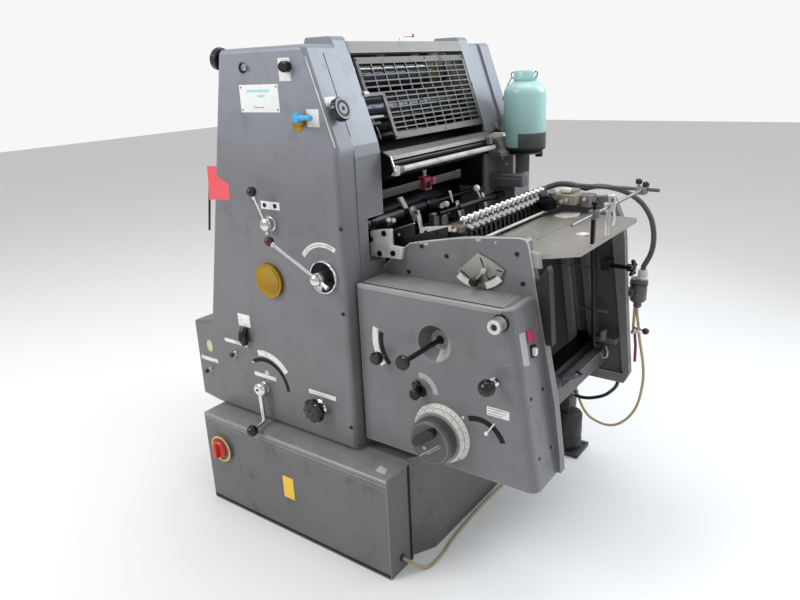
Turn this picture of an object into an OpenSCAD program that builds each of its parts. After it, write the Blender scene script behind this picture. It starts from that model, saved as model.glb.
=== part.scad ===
// A small one-colour sheet-fed offset press on its pedestal, feeder end towards +X.
// Millimetres. +X runs along the machine to the feeder, +Y from the operator's side
// to the drive side, +Z up. The origin is the centre of the pedestal's underside.

/* [Base] */
// Height of the pedestal that the side frames stand on
pedestal_h = 352; // [300:1:420]
// Length of the pedestal along the machine
pedestal_l = 836; // [780:1:850]
// Width of the pedestal across the machine
pedestal_w = 930; // [900:1:960]
// Height of the switch box in front of the pedestal
box_h = 348; // [300:1:350]
// Depth of the switch box
box_d = 119; // [90:1:150]
// Length of the switch box along the machine
box_l = 807; // [760:1:812]
// Thickness of the switch box's lid
lid_t = 30; // [20:1:40]

/* [Side frames] */
// Clear width between the two side frames
frame_gap = 620; // [600:1:640]
// Thickness of each cast side frame
frame_t = 120; // [100:1:130]
// Depth of the cover outside each side frame
cover_d = 75; // [60:1:90]
// Height of the covers' flat top
cover_top = 1544; // [1500:1:1580]
// How far the cast frames stand above the covers
frame_rise = 21; // [10:1:30]
// Left end of the covers' flat top
top_x0 = -212; // [-230:1:-190]
// Right end of the covers' flat top
top_x1 = 122; // [100:1:140]
// Right face of the housing
face_x = 215; // [200:1:225]
// Height of the slanted face, down from the covers' top
slant_h = 271; // [240:1:300]
// How far the cast frames' slanted faces lie behind the covers'
frame_back = 9; // [0:1:14]
// Left edge of the housing at the shoulder
shoulder_x = -415; // [-430:1:-400]
// Height of the shoulder
shoulder_z = 665; // [640:1:690]
// Left end of the low extension
low_x = -516; // [-530:1:-500]
// Rounding along the covers' edges
edge_r = 16; // [8:1:20]
// Left end of the raised lugs on the cast frames
lug_x = 8; // [-20:1:50]
// Width of the raised lugs
lug_w = 56; // [40:1:80]
// Depth below the covers' top of the rear guard's upper edge
rear_drop = 250; // [220:1:280]
// Height of the rear guard
rear_h = 210; // [180:1:240]

/* [Delivery] */
// Left end of the delivery
delivery_x = -630; // [-650:1:-600]
// Height of the delivery's side plates
delivery_h = 620; // [600:1:640]
// Height of the delivery board's top
delivery_z = 440; // [430:1:470]

/* [Feeder] */
// Thickness of the feeder's cast side frames
feeder_t = 27; // [22:1:32]
// Lean of the feeder's posts from the vertical, in degrees
lean = 7.8; // [6:0.1:9]
// Lean of the pile lift from the vertical, in degrees
lift_lean = 3.4; // [2:0.1:5]
// Depth of the cabinet on the operator's side
cabinet_d = 133; // [110:1:150]
// Left end of the cabinet
cabinet_x0 = 227; // [224:1:240]
// Right end of the cabinet at its top
cabinet_x1 = 717; // [700:1:730]
// How much further right the cabinet reaches at its foot
cabinet_lean = 84; // [50:1:100]
// Rounding of the cabinet's front right edge
cabinet_r = 27; // [15:1:35]
// Height of the cabinet's underside
cabinet_z0 = 385; // [370:1:400]
// Height of the cabinet's shelf
cabinet_z1 = 888; // [860:1:900]
// Height of the pile table's top
table_z = 995; // [980:1:1000]
// Thickness of the pile table
table_t = 12; // [8:1:20]
// Left edge of the pile table
table_x0 = 520; // [510:1:540]
// Right edge of the pile table
table_x1 = 800; // [780:1:830]
// Drive-side edge of the pile table
table_y1 = 240; // [220:1:250]

/* [Guard] */
// Depth of the guard's pivot pins below the covers' top
pin_drop = 139; // [130:1:150]
// Length of the guard above its pins, along the slope
guard_up = 106; // [95:1:108]
// Length of the guard below its pins, along the slope
guard_down = 143; // [135:1:150]
// Thickness of the guard's flat strips
guard_t = 6; // [4:1:8]
// Width of the guard's side borders
guard_rim = 14; // [9:1:18]
// Columns of openings in the guard
guard_cols = 10; // [6:1:12]
// Rows of openings in the guard
guard_rows = 13; // [8:1:16]

/* [Rollers and cylinders] */
// Radius of the printing cylinders
cyl_r = 86; // [80:1:87]
// Distance between the printing cylinders' axes
cyl_pitch = 178; // [176:1:184]
// Radius of the inking rollers
roller_r = 29; // [24:1:30]
// Radius of the bright vibrator roller
vibrator_r = 34; // [28:1:36]
// Radius of the register shaft
shaft_r = 18; // [15:1:20]
// Number of suckers on the suction head
sucker_n = 16; // [9:1:18]

/* [Bottle] */
// Radius of the water bottle
bottle_r = 76; // [70:1:90]
// Depth of the bottle's shoulder below the covers' top
bottle_drop = 144; // [130:1:160]
// Height from the bottle's underside to its shoulder
bottle_h = 224; // [200:1:245]
// Height of the bottle's neck
cap_h = 46; // [30:1:60]

/* [Hand controls] */
// Radius of the balls on the levers
ball_r = 15; // [12:1:16]
// Radius of the bright lever rods
rod_r = 5; // [4:0.5:6]
// Radius of the speed dial
dial_r = 68; // [60:1:72]
// Radius of the flange behind the speed dial
flange_r = 93; // [86:1:98]
// Depth of the flange behind the speed dial
flange_h = 30; // [16:1:40]
// Radius of the round knobs on the slanted edges
wheel_r = 32; // [28:1:40]
// Radius of the star knob
star_r = 40; // [30:1:44]

/* [Hidden] */

$fn = 48;

paint = [0.47, 0.47, 0.48];
paint_dark = [0.36, 0.36, 0.37];
steel = [0.78, 0.78, 0.78];
black = [0.08, 0.08, 0.09];

// The faces across the machine.
inner_y = frame_gap / 2;
frame_y = inner_y + frame_t;
cover_y = frame_y + cover_d;
pedestal_y = pedestal_w / 2;
box_y = -pedestal_y - box_d;
box_x0 = -pedestal_l / 2;
box_x1 = box_x0 + box_l;
feeder_in = inner_y - 5;
panel_y = -feeder_in - feeder_t;
cabinet_y = panel_y - cabinet_d;

// The covers stand on the pedestal, and clear of the switch box's lid.
lid_gap = 4;
cover_z0 = max(pedestal_h, box_h + lid_gap);

// The slanted face: how far it leans back, and the guard's pin on it.
pin_z = cover_top - pin_drop;
slant_run = face_x + 3 - top_x1;
slant = atan2(slant_run, slant_h);
function slant_x(z) = top_x1 + slant_run * (cover_top - z) / slant_h;
function left_x(z) = top_x0 - (top_x0 - shoulder_x) * (cover_top - z) / (cover_top - shoulder_z);
pin_x = slant_x(pin_z) - 12;

function lean_x(x, z) = x + (table_z - z) * tan(lean);
function arc(x, z, r, a0, a1, n) =
    [for (i = [0:n]) let (a = a0 + (a1 - a0) * i / n) [x + r * cos(a), z + r * sin(a)]];

// An outline in X and Z, given a thickness along Y.
module along_y(y0, y1) {
    translate([0, y1, 0]) rotate([90, 0, 0]) linear_extrude(height = y1 - y0) children();
}

// A round bar along Y.
module bar_y(x, z, r, y0, y1) {
    translate([x, y0, z]) rotate([-90, 0, 0]) cylinder(h = y1 - y0, r = r);
}

// A round bar along X.
module bar_x(y, z, r, x0, x1) {
    translate([x0, y, z]) rotate([0, 90, 0]) cylinder(h = x1 - x0, r = r);
}

// A round rod from one point to another.
module rod(a, b, r) {
    d = b - a;
    translate(a) rotate([0, acos(d[2] / norm(d)), atan2(d[1], d[0])])
        cylinder(h = norm(d), r = r);
}

// A box from its low corner to its high corner.
module block(a, b) {
    translate(a) cube(b - a);
}

// An outline moved inwards by d at every corner, for a chamfered edge.
function unit(v) = v / norm(v);
function inset(p, d) = let (n = len(p)) [for (i = [0:n - 1]) let (
    e = unit(p[i] - p[(i + n - 1) % n]), f = unit(p[(i + 1) % n] - p[i]),
    g = [e[1], -e[0]], h = [f[1], -f[0]]) p[i] + d * (g + h) / (1 + g * h)];

// A solid through outlines of the same number of points, one after the other along Y.
module lofted(outlines, places) {
    n = len(outlines[0]);
    m = len(outlines);
    points = [for (j = [0:m - 1], p = outlines[j]) [p[0], places[j], p[1]]];
    walls = [for (j = [0:m - 2], i = [0:n - 1]) let (k = (i + 1) % n)
        [j * n + i, j * n + k, (j + 1) * n + k, (j + 1) * n + i]];
    ends = [[for (i = [0:n - 1]) n - 1 - i], [for (i = [0:n - 1]) (m - 1) * n + i]];
    all = concat(walls, ends);
    polyhedron(points = points, faces = places[m - 1] < places[0] ? all :
        [for (f = all) [for (i = [len(f) - 1:-1:0]) f[i]]], convexity = 6);
}

// A plate from y0 out to y1, with the outer edge rounded above the height z0.
round_steps = [0, 24, 47, 68, 90];
module rounded(outline, y0, y1, z0) {
    way = y1 < y0 ? -1 : 1;
    lofted(concat([outline], [for (a = round_steps) [for (p = inset(outline, edge_r * (1 - cos(a))))
        [p[0], max(p[1], z0)]]]),
        concat([y0], [for (a = round_steps) y1 - way * edge_r * (1 - sin(a))]));
}

// Rounding of the top corners, left and right, wider than the rounded edge that runs round them.
left_r = edge_r + 4;
right_r = edge_r + 1;
left_lean = atan2(top_x0 - shoulder_x, cover_top - shoulder_z);
function housing(z0, rise, back) = concat(
    [[low_x + 90, z0], [low_x, z0 + 12], [low_x + 3, shoulder_z - 15], [shoulder_x, shoulder_z]],
    arc(left_x(cover_top - left_r) + left_r / cos(left_lean), cover_top - left_r,
        left_r, 180 - left_lean, 90, 5),
    rise > 0 ? [[lug_x - rise / 2, cover_top], [lug_x, cover_top + rise]] : [],
    arc(slant_x(cover_top + rise - right_r) - right_r / cos(slant) - back,
        cover_top + rise - right_r, right_r, 90, slant, 3),
    [[face_x + 3 - back, cover_top - slant_h], [face_x, cover_top - slant_h - 30], [face_x, z0]]);

pocket_x0 = 120;
pocket_z0 = 930;
pocket_z1 = 1063;
pocket_y = inner_y + 76;

module operator_side_frame() {
    color(paint) difference() {
        union() {
            along_y(-frame_y, -inner_y) polygon(housing(pedestal_h, 0, frame_back));
            along_y(-inner_y - lug_w, -inner_y) polygon(housing(pedestal_h, frame_rise, frame_back));
        }
        block([pocket_x0, -pocket_y, pocket_z0], [face_x + 20, -inner_y + 1, pocket_z1]);
    }
}

module operator_side_cover() {
    color(paint) rounded(housing(cover_z0, 0, 0), -frame_y, -cover_y, cover_z0);
}

module drive_side_frame() {
    color(paint) {
        along_y(inner_y, frame_y) polygon(housing(pedestal_h, 0, frame_back));
        along_y(inner_y, inner_y + lug_w) polygon(housing(pedestal_h, frame_rise, frame_back));
    }
}

module drive_side_cover() {
    color(paint) rounded(housing(pedestal_h, 0, 0), frame_y, cover_y, pedestal_h);
}

// The running gap between a hand control and its seat.
seat_gap = 0.3;

corner_x = 46;
corner_y = 84;
module pedestal() {
    half = pedestal_l / 2;
    color(paint_dark) linear_extrude(height = pedestal_h) polygon([
        [-half, -pedestal_y], [half - corner_x, -pedestal_y], [half, -pedestal_y + corner_y],
        [half, pedestal_y - corner_y], [half - corner_x, pedestal_y], [-half, pedestal_y]]);
}

switch_x = -340;
switch_z = 232;
module switch_box() {
    color(paint_dark) {
        difference() {
            block([box_x0, box_y, 0], [box_x1, -pedestal_y, box_h]);
            block([box_x0 - 1, box_y - 1, box_h - lid_t - 3],
                [box_x1 + 1, box_y + 3, box_h - lid_t]);
            block([box_x1 - 42, box_y - 1, -1], [box_x1 - 39, box_y + 2, box_h + 1]);
        }
        bar_y(switch_x, switch_z, 45, box_y - 10, box_y);
    }
}

module main_switch() {
    color("red") {
        bar_y(switch_x, switch_z, 30, box_y - 24, box_y - 10.3);
        block([switch_x - 9, box_y - 46, switch_z - 29], [switch_x + 9, box_y - 24, switch_z + 29]);
    }
}

// The light cross bar between the frames, its front face in line with the slanted face.
bar_z1 = cover_top + 7;
bar_h = 32;
bar_l = 66;
module top_bar() {
    front = slant_x(bar_z1) - 7;
    color(steel) along_y(-inner_y, inner_y) polygon([[front - bar_l, bar_z1], [front, bar_z1],
        [front + bar_h * tan(slant), bar_z1 - bar_h], [front - 8, bar_z1 - bar_h - 4],
        [front - bar_l, bar_z1 - bar_h - 4]]);
}

// The ink duct between the frames, behind the top bar.
duct_x = -24;
module ink_duct() {
    z = cover_top - 8;
    color(black) along_y(-inner_y, inner_y) polygon([[duct_x, z], [duct_x, z - 34],
        [duct_x - 66, z - 74], [duct_x - 130, z - 74], [duct_x - 130, z]]);
}

// The inking rollers behind the guard: place in X and depth below the covers' top.
roller_spots = [[33, 96], [96, 189], [34, 174], [-48, 214], [-60, 124], [30, 246]];
module ink_rollers() {
    color(black) for (i = [0:len(roller_spots) - 1])
        bar_y(roller_spots[i][0], cover_top - roller_spots[i][1],
            i == 0 ? vibrator_r : roller_r, -inner_y, inner_y);
}

// The water tray's pan, roller and bright sloping lip between two end plates.
tray_x = 168;
tray_z = cover_top - 308;
tray_t = 4;
lip_x = face_x + 32;
plate_t = 6;
module water_tray() {
    color(steel) {
        for (side = [-1, 1])
            along_y(side > 0 ? inner_y - plate_t : -inner_y, side > 0 ? inner_y : -inner_y + plate_t)
                polygon([[tray_x, tray_z], [face_x + 7, tray_z + 8], [lip_x, tray_z - 4],
                    [lip_x + 16, tray_z - 52], [lip_x, tray_z - 62], [tray_x, tray_z - 62]]);
        along_y(-inner_y + plate_t, inner_y - plate_t) polygon([[face_x + 7, tray_z + 8],
            [lip_x, tray_z - 4], [lip_x + 2, tray_z - 12], [lip_x - 2, tray_z - 12],
            [lip_x - 4, tray_z - 7], [face_x + 7, tray_z + 3]]);
        along_y(-inner_y + plate_t, inner_y - plate_t) polygon([[tray_x, tray_z - 10],
            [tray_x + tray_t, tray_z - 10], [tray_x + tray_t, tray_z - 58],
            [face_x + 11, tray_z - 58], [face_x + 11, tray_z - 46], [face_x + 15, tray_z - 46],
            [face_x + 15, tray_z - 62], [tray_x, tray_z - 62]]);
    }
    color(black) bar_y(tray_x + 32, tray_z - 28, 22, -inner_y + plate_t, inner_y - plate_t);
}

// The impression, blanket and plate cylinders, each a pitch above the one below.
press_x = 64;
press_z = cover_top - 714;
cyl_shift = 40;
module cylinders() {
    rise = sqrt(cyl_pitch * cyl_pitch - cyl_shift * cyl_shift);
    color([0.6, 0.62, 0.64]) for (i = [0:2])
        bar_y(press_x - (i == 1 ? cyl_shift : 0), press_z + i * rise, cyl_r, -inner_y, inner_y);
}

guard_y0 = -inner_y + 12;
guard_y1 = inner_y - 6;
guard_low_y0 = -inner_y + 90;
strip = 4;
rim_top = 19;
rim_low = 20;
module guard_net(y0, y1, z0, z1, cols, rows) {
    pitch_y = (y1 - y0 - 2 * guard_rim + strip) / cols;
    pitch_z = (z1 - z0 + strip) / rows;
    for (i = [0:cols - 1], j = [0:rows - 1])
        translate([y0 + guard_rim + i * pitch_y, z0 + j * pitch_z])
            square([pitch_y - strip, pitch_z - strip]);
}

pin_r = 6;
low_rows = 8;
module grid_guard() {
    color(steel) translate([pin_x, 0, pin_z]) rotate([0, -slant, 0]) {
        translate([-guard_t / 2, 0, 0]) rotate([90, 0, 90]) linear_extrude(height = guard_t)
            difference() {
                polygon([[guard_low_y0, -guard_down], [guard_y1, -guard_down],
                    [guard_y1, guard_up], [guard_y0, guard_up], [guard_y0, -8],
                    [guard_low_y0, -8]]);
                guard_net(guard_low_y0, guard_y1, -guard_down + rim_low, -strip / 2,
                    guard_cols - 1, low_rows);
                guard_net(guard_y0, guard_y1, strip / 2, guard_up - rim_top, guard_cols,
                    guard_rows - low_rows);
            }
        bar_y(0, 0, pin_r, -inner_y + 0.3, guard_y0);
        bar_y(0, 0, pin_r, guard_y1, inner_y - 0.3);
    }
}

// The round rod in front of the tray, and the flat bar below it that ends short.
bar_x = 202;
bar_end = 150;
flat_z = tray_z - 120;
module cross_rods() {
    color(steel) {
        bar_y(lip_x + 6, tray_z - 46, 8, -inner_y + plate_t, inner_y - plate_t);
        block([bar_x - 4, -inner_y, flat_z - 12], [bar_x + 4, bar_end, flat_z + 12]);
    }
}

// The clamp that slides on the flat bar, with its thumb screw towards the drive side.
clamp_y = -60;
module bar_clamp() {
    color([0.7, 0.2, 0.32]) difference() {
        union() {
            block([bar_x - 14, clamp_y - 24, flat_z - 20], [bar_x + 16, clamp_y + 12, flat_z + 22]);
            bar_y(bar_x + 14, flat_z + 6, 9, clamp_y + 12, clamp_y + 34);
            translate([bar_x, clamp_y - 6, flat_z + 22]) cylinder(h = 14, r = 5);
        }
        block([bar_x - 4, clamp_y - 25, flat_z - 12], [bar_x + 4, clamp_y + 13, flat_z + 12]);
    }
}

// The feed board runs down from the suction head to the cylinders.
board_x0 = 160;
board_x1 = 438;
board_z0 = 942;
board_z1 = 1030;
board_t = 10;
board_in = 20;
board_y = feeder_in - 6;
function board_top(x) = board_z0 + (board_z1 - board_z0) * (x - board_x0) / (board_x1 - board_x0);
module feed_board() {
    color(steel) {
        along_y(-board_y, board_y) polygon([[board_x0, board_z0], [board_x1, board_z1],
            [board_x1, board_z1 - board_t], [board_x0, board_z0 - board_t]]);
        along_y(-feeder_in, -board_y) polygon([[face_x + board_in, board_top(face_x + board_in) + 14],
            [board_x1, board_z1 + 14], [board_x1, board_z1 - 40],
            [face_x + board_in, board_top(face_x + board_in) - 40]]);
        along_y(board_y, feeder_in) polygon([[face_x + board_in, board_top(face_x + board_in) + 14],
            [board_x1, board_z1 + 14], [board_x1, board_z1 - 40],
            [face_x + board_in, board_top(face_x + board_in) - 40]]);
    }
}

// The register shaft runs from the pocket in the operator's frame to the drive frame.
shaft_x = 190;
shaft_z = 1040;
thin_x = 240;
thin_z = 1012;
thin_r = 9;
tube_end = 0;
module register_shaft() {
    color(black) {
        bar_y(shaft_x, shaft_z, shaft_r, -pocket_y, tube_end);
        bar_y(shaft_x, shaft_z, thin_r, tube_end, inner_y);
        bar_y(thin_x, thin_z, thin_r, -60, inner_y - 8);
    }
    color(steel) for (y = [-26, 40, 150]) along_y(y - 8, y + 8) polygon([
        [shaft_x - 16, shaft_z - 20], [thin_x + 4, thin_z - 14], [thin_x + 14, thin_z],
        [thin_x + 4, thin_z + 14], [shaft_x + 8, shaft_z + 22], [shaft_x - 16, shaft_z + 22]]);
}

// The cast bracket that bolts the feeder's operator-side frame to the press.
module board_bracket() {
    color(steel) along_y(panel_y - 16, panel_y) polygon([for (p = [[-27, -3], [86, -1], [94, 35],
        [52, 37], [51, 86], [14, 81], [-24, 74], [-22, 51], [-27, 35]])
        [face_x + p[0], board_z0 + p[1]]]);
}

// The feeder frames' outlines in X and Z: the arched top, its peak and the right edge.
frame_arch = [[face_x, 900], [324, 989], [485, 1022], [573, 1033]];
peak = [683, 1028];
peak_r = 16;
near_edge = [[720, 935], [787, 595], [808, 437], [812, cabinet_z0]];
far_edge = [[732, 960], [740, 905], [759, 686], [786, 425], [768, cabinet_z0]];
function feeder_outline(edge) = concat(
    [[face_x, cabinet_z0]], frame_arch, arc(peak[0], peak[1], peak_r, 85, 10, 4), edge);

module feeder_side_frame_operator() {
    color(paint) along_y(panel_y, -feeder_in) polygon(feeder_outline(near_edge));
}

// The drive-side frame is an open casting: a skin with ribs on its inner side.
pocket_depth = 20;
frame_pockets = [[250, 500], [530, 575], [600, 690]];
module feeder_side_frame_drive() {
    color(paint) difference() {
        along_y(inner_y, inner_y + feeder_t) polygon(feeder_outline(far_edge));
        for (span = frame_pockets)
            along_y(inner_y - 1, inner_y + pocket_depth) polygon([
                [lean_x(span[0], 960) - 4, 960], [lean_x(span[1], 960) - 4, 960],
                [lean_x(span[1], 420) - 4, 420], [lean_x(span[0], 420) - 4, 420]]);
    }
}

recess_x = 487;
recess_z = 756;
recess_r = 54;
recess_d = 34;
arc_c = [409, 731];
arc_r = 104;
slot_w = 6;
right_c = [627, 486];
right_r2 = 78;
cabinet_steps = concat([[0, cabinet_d]], [for (a = round_steps)
    [cabinet_r * (1 - cos(a)), cabinet_r * (1 - sin(a))]]);
module feeder_cabinet() {
    color(paint) difference() {
        lofted([for (d = cabinet_steps) [[cabinet_x0, cabinet_z0], [cabinet_x0, cabinet_z1],
            [cabinet_x1 - d[0], cabinet_z1], [cabinet_x1 + cabinet_lean - d[0], cabinet_z0]]],
            [for (d = cabinet_steps) cabinet_y + d[1]]);
        translate([recess_x, cabinet_y - 0.1, recess_z]) rotate([-90, 0, 0])
            cylinder(h = recess_d, r1 = recess_r, r2 = recess_r / 2);
        arc_slot(arc_c, arc_r, 169, 221, slot_w);
        arc_slot(right_c, right_r2, 21, 112, slot_w);
    }
}

// A slot that follows an arc in the cabinet's front.
module arc_slot(c, r, a0, a1, w) {
    along_y(cabinet_y - 1, cabinet_y + 14)
        polygon(concat(arc(c[0], c[1], r + w, a0, a1, 10), arc(c[0], c[1], r - w, a1, a0, 10)));
}

beam_z = 475;
module cross_beam() {
    color(paint_dark) block([lean_x(540, beam_z), -feeder_in, beam_z - 25],
        [lean_x(620, beam_z), inner_y, beam_z + 25]);
}

// The leaning lift rod on the drive side, held off the frame by short blocks, and the rail
// beside the feeder's operator-side frame.
rod_y = 278;
rail_x = 640;
guide_r = 8;
crank_z = 819;
rail_z = 965;
function lift_x(z) = rail_x + (rail_z - z) * tan(lift_lean);
module lift_rods() {
    color(black) {
        rod([lift_x(520), rod_y, 520], [lift_x(rail_z), rod_y, rail_z], guide_r);
        for (z = [540, rail_z - 35]) block([lift_x(z) - 16, rod_y, z - 14],
            [lift_x(z) + 18, inner_y, z + 14]);
        block([lift_x(crank_z) + 30, rod_y - 14, crank_z - 16],
            [lift_x(crank_z) + 60, inner_y, crank_z + 16]);
        along_y(panel_y, -feeder_in) polygon([[722, 925], [752, rail_z + 10], [758, rail_z],
            [773, 760], [756, 760]]);
    }
}

wheel_x = 783;
module pile_handwheel() {
    color(black) {
        bar_x(rod_y, crank_z, 7, lift_x(crank_z) + 60.3, wheel_x);
        bar_x(rod_y, crank_z, 13, wheel_x - 18, wheel_x);
        bar_x(rod_y, crank_z, 26, wheel_x - 5, wheel_x + 5);
    }
}

// The pile table, with round corners and one cut off, on the bar of its carriage.
table_y0 = -feeder_in + 5;
bevel_x = 92;
bevel_y = 65;
corner_r = 14;
module pile_table() {
    a = atan2(bevel_y, bevel_x);
    color(steel) {
        translate([0, 0, table_z - table_t]) linear_extrude(height = table_t) polygon(concat(
            arc(table_x0 + corner_r, table_y0 + corner_r, corner_r, 180, 270, 4),
            arc(table_x1 - bevel_x, table_y0 + corner_r, corner_r, 270, 270 + a, 2),
            arc(table_x1 - corner_r, table_y0 + bevel_y + corner_r, corner_r, 270 + a, 360, 3),
            arc(table_x1 - corner_r, table_y1 - corner_r, corner_r, 0, 90, 4),
            arc(table_x0 + corner_r, table_y1 - corner_r, corner_r, 90, 180, 4)));
        block([table_x0 + 25, table_y0 + 20, table_z - table_t - 30],
            [table_x0 + 72, table_y1 - 20, table_z - table_t]);
        block([table_x0 + 25, table_y1 - 60, table_z - table_t - 30],
            [lift_x(table_z - 37) + 24, table_y1 - 20, table_z - table_t]);
        block([lift_x(table_z - 37) - 24, table_y1 - 60, table_z - table_t - 30],
            [lift_x(table_z - 37) + 24, rod_y - guide_r - seat_gap, table_z - table_t]);
    }
}

// The suction head: a beam with a row of domed suckers, and the block at its near end.
head_x0 = 440;
head_x1 = 490;
head_z = 1034;
sucker_y0 = -249;
sucker_y1 = 262;
module suction_head() {
    color(steel) {
        block([head_x0, -feeder_in, head_z - 18], [head_x1, inner_y, head_z]);
        for (i = [0:sucker_n - 1])
            translate([head_x0 + 16, sucker_y0 + (sucker_y1 - sucker_y0) * i / (sucker_n - 1), head_z])
                rotate_extrude($fn = 24) polygon([[0, 0], [10, 0], [10, 8], [6, 10], [6, 18],
                    [12, 20], [12, 25], [10, 30], [6, 33], [0, 34]]);
    }
    color([0.45, 0.33, 0.28]) block([head_x0 - 12, -290, head_z], [head_x0 + 34, -256, head_z + 24]);
}

module air_manifold() {
    color([0.7, 0.66, 0.58]) {
        block([515, 205, 1035], [590, inner_y + 20, 1078]);
        block([530, 150, 1040], [575, 205, 1070]);
    }
}

// The rods over the table's far edge, with the clamps and stops of the rear sheet guides.
rear_z = 1082;
rear_x = 802;
rear_y = 262;
module rear_rods() {
    color(steel) {
        bar_x(rear_y, rear_z, 6, 590, rear_x + 51);
        bar_y(rear_x, rear_z, 5, -300, rear_y);
        block([rear_x - 22, rear_y - 18, rear_z - 18], [rear_x + 12, rear_y + 18, rear_z + 8]);
        for (d = [[-14, 17], [8, 7]]) {
            translate([rear_x + d[0], rear_y, rear_z]) cylinder(h = d[1] + 2, r = 5);
            translate([rear_x + d[0], rear_y, rear_z + d[1]]) cylinder(h = 14, r = 10);
        }
    }
    color(black) for (y = [-38, -150]) {
        bar_y(rear_x, rear_z, 12, y - 13, y + 13);
        block([rear_x - 6, y - 8, table_z + 6], [rear_x + 6, y + 6, rear_z]);
    }
}

// The feeder's drive housing, which stands against the drive side below the bottle.
post_l = 82;
post_y0 = 385;
module drive_post() {
    color(paint) block([face_x, post_y0, cabinet_z0 + 60],
        [face_x + post_l, cover_y, bottle_z0 - base_t]);
}

bottle_x = 305;
bottle_y = 440;
base_t = 22;
bottle_z1 = cover_top - bottle_drop;
bottle_z0 = bottle_z1 - bottle_h;
neck_in = 36;
module bottle() {
    color([0.55, 0.78, 0.76]) translate([bottle_x, bottle_y, 0]) rotate_extrude() polygon([
        [0, bottle_z0], [bottle_r - 10, bottle_z0], [bottle_r, bottle_z0 + 10],
        [bottle_r, bottle_z1 - 30], [bottle_r - 6, bottle_z1 - 13], [bottle_r - 20, bottle_z1 - 2],
        [bottle_r - neck_in, bottle_z1 + 6], [bottle_r - neck_in, bottle_z1 + cap_h - 6],
        [bottle_r - neck_in - 6, bottle_z1 + cap_h], [0, bottle_z1 + cap_h]]);
}

// The black seat under the bottle, its outlet, and the cast arm that reaches to the frame.
module bottle_bracket() {
    arm_y = 352;
    color(black) {
        translate([bottle_x, bottle_y, bottle_z0 - base_t]) cylinder(h = base_t, r = bottle_r - 8);
        translate([bottle_x + 46, bottle_y + 30, bottle_z0 - base_t - 14]) cylinder(h = 14, r = 14);
    }
    color(steel) block([face_x, arm_y - 30, bottle_z0 - base_t],
        [bottle_x - 30, arm_y + 50, bottle_z0 - base_t + 14]);
}

pot_x = 773;
pot_y = 396;
pot_z = 667;
pot_h = 83;
tap_drop = 98;
module filter_pot() {
    lever_z = pot_z - tap_drop;
    color(black) {
        translate([pot_x, pot_y, pot_z]) cylinder(h = pot_h, r = 29);
        translate([pot_x - 4, pot_y, pot_z - 22]) cylinder(h = 22, r = 14);
        block([740, inner_y + feeder_t, pot_z + 30], [pot_x, pot_y - 18, pot_z + 54]);
        rod([pot_x - 10, pot_y - 2, lever_z], [pot_x + 40, pot_y - 23, lever_z], 3);
        end_ball([pot_x - 10, pot_y - 2, lever_z], [pot_x + 40, pot_y - 23, lever_z], 11);
    }
    color([0.75, 0.72, 0.6]) {
        translate([pot_x + 9, pot_y, pot_z + pot_h]) cylinder(h = 33, r = 17);
        translate([pot_x - 10, pot_y, lever_z - 16]) cylinder(h = tap_drop - 3, r = 5);
    }
}

// The free hose and cable routes, from one end to the other.
hose_route = [[590, 330, 1060], [625, 352, 1078], [670, 372, 1080], [720, 386, 1062],
    [763, 394, 1025], [793, 397, 975], [806, 399, 920], [808, 399, 872], [801, 398, 836],
    [789, 397, 808], [783, 396, 795], [782, 396, 783]];
cream_route = [[545, 440, 240], [554, 440, 230], [563, 438, 211], [574, 436, 190],
    [589, 434, 169], [607, 432, 153], [628, 431, 144], [650, 429, 139], [672, 427, 138],
    [700, 424, 144], [724, 422, 157], [745, 420, 176], [765, 418, 202], [783, 417, 235],
    [796, 415, 275], [804, 413, 325], [807, 411, 380], [803, 408, 432], [795, 404, 480],
    [786, 400, 530], [779, 398, 580], [773, 396, 620], [771, 396, 645]];
pump_route = [[545, 405, 240], [560, 405, 242], [586, 402, 242], [612, 400, 247],
    [636, 398, 256], [659, 394, 268], [682, 386, 285], [702, 373, 307], [721, 355, 332],
    [735, 338, 355], [742, 327, 372], [744, 323, 385]];
cable_route = [[389, -525, 46], [402, -525, 45], [420, -518, 34], [438, -502, 18],
    [452, -478, 6], [458, -440, 6], [456, -390, 6], [448, -330, 6], [442, -260, 6],
    [438, -190, 6], [436, -120, 6], [436, -50, 6], [438, 20, 6], [442, 90, 6], [446, 160, 6],
    [450, 230, 6], [454, 290, 8], [460, 340, 18], [468, 376, 34], [478, 398, 45], [486, 408, 48]];

// A round tube swept along a route, closed at both ends.
module tube(route, r, sides) {
    n = len(route);
    up = [0.02, 1, 0.03];
    rings = [for (i = [0:n - 1]) let (
        t = route[min(i + 1, n - 1)] - route[max(i - 1, 0)],
        u = cross(t, up) / norm(cross(t, up)), v = cross(t, u) / norm(cross(t, u)))
        for (k = [0:sides - 1]) route[i] + r * (cos(360 * k / sides) * u + sin(360 * k / sides) * v)];
    sides_faces = [for (i = [0:n - 2], k = [0:sides - 1]) let (l = (k + 1) % sides)
        [i * sides + k, i * sides + l, (i + 1) * sides + l, (i + 1) * sides + k]];
    start = [[for (k = [0:sides - 1]) sides - 1 - k]];
    end = [[for (k = [0:sides - 1]) (n - 1) * sides + k]];
    polyhedron(points = rings, faces = concat(sides_faces, start, end), convexity = 10);
}

hose_r = 10;
cable_r = 5;
dark_r = 6.5;
module corrugated_hose() { color(black) tube(hose_route, hose_r, 10); }
module cream_hose() { color([0.7, 0.65, 0.5]) tube(cream_route, cable_r, 8); }
module pump_hose() { color(black) tube(pump_route, dark_r, 8); }
module foot_cable() { color([0.6, 0.56, 0.46]) tube(cable_route, cable_r, 8); }

module pump() {
    color(black) {
        block([pedestal_l / 2, 350, 0], [598, 470, 16]);
        translate([535, 410, 16]) cylinder(h = 150, r = 50);
        block([498, 382, 166], [545, 460, 262]);
    }
}

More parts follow.
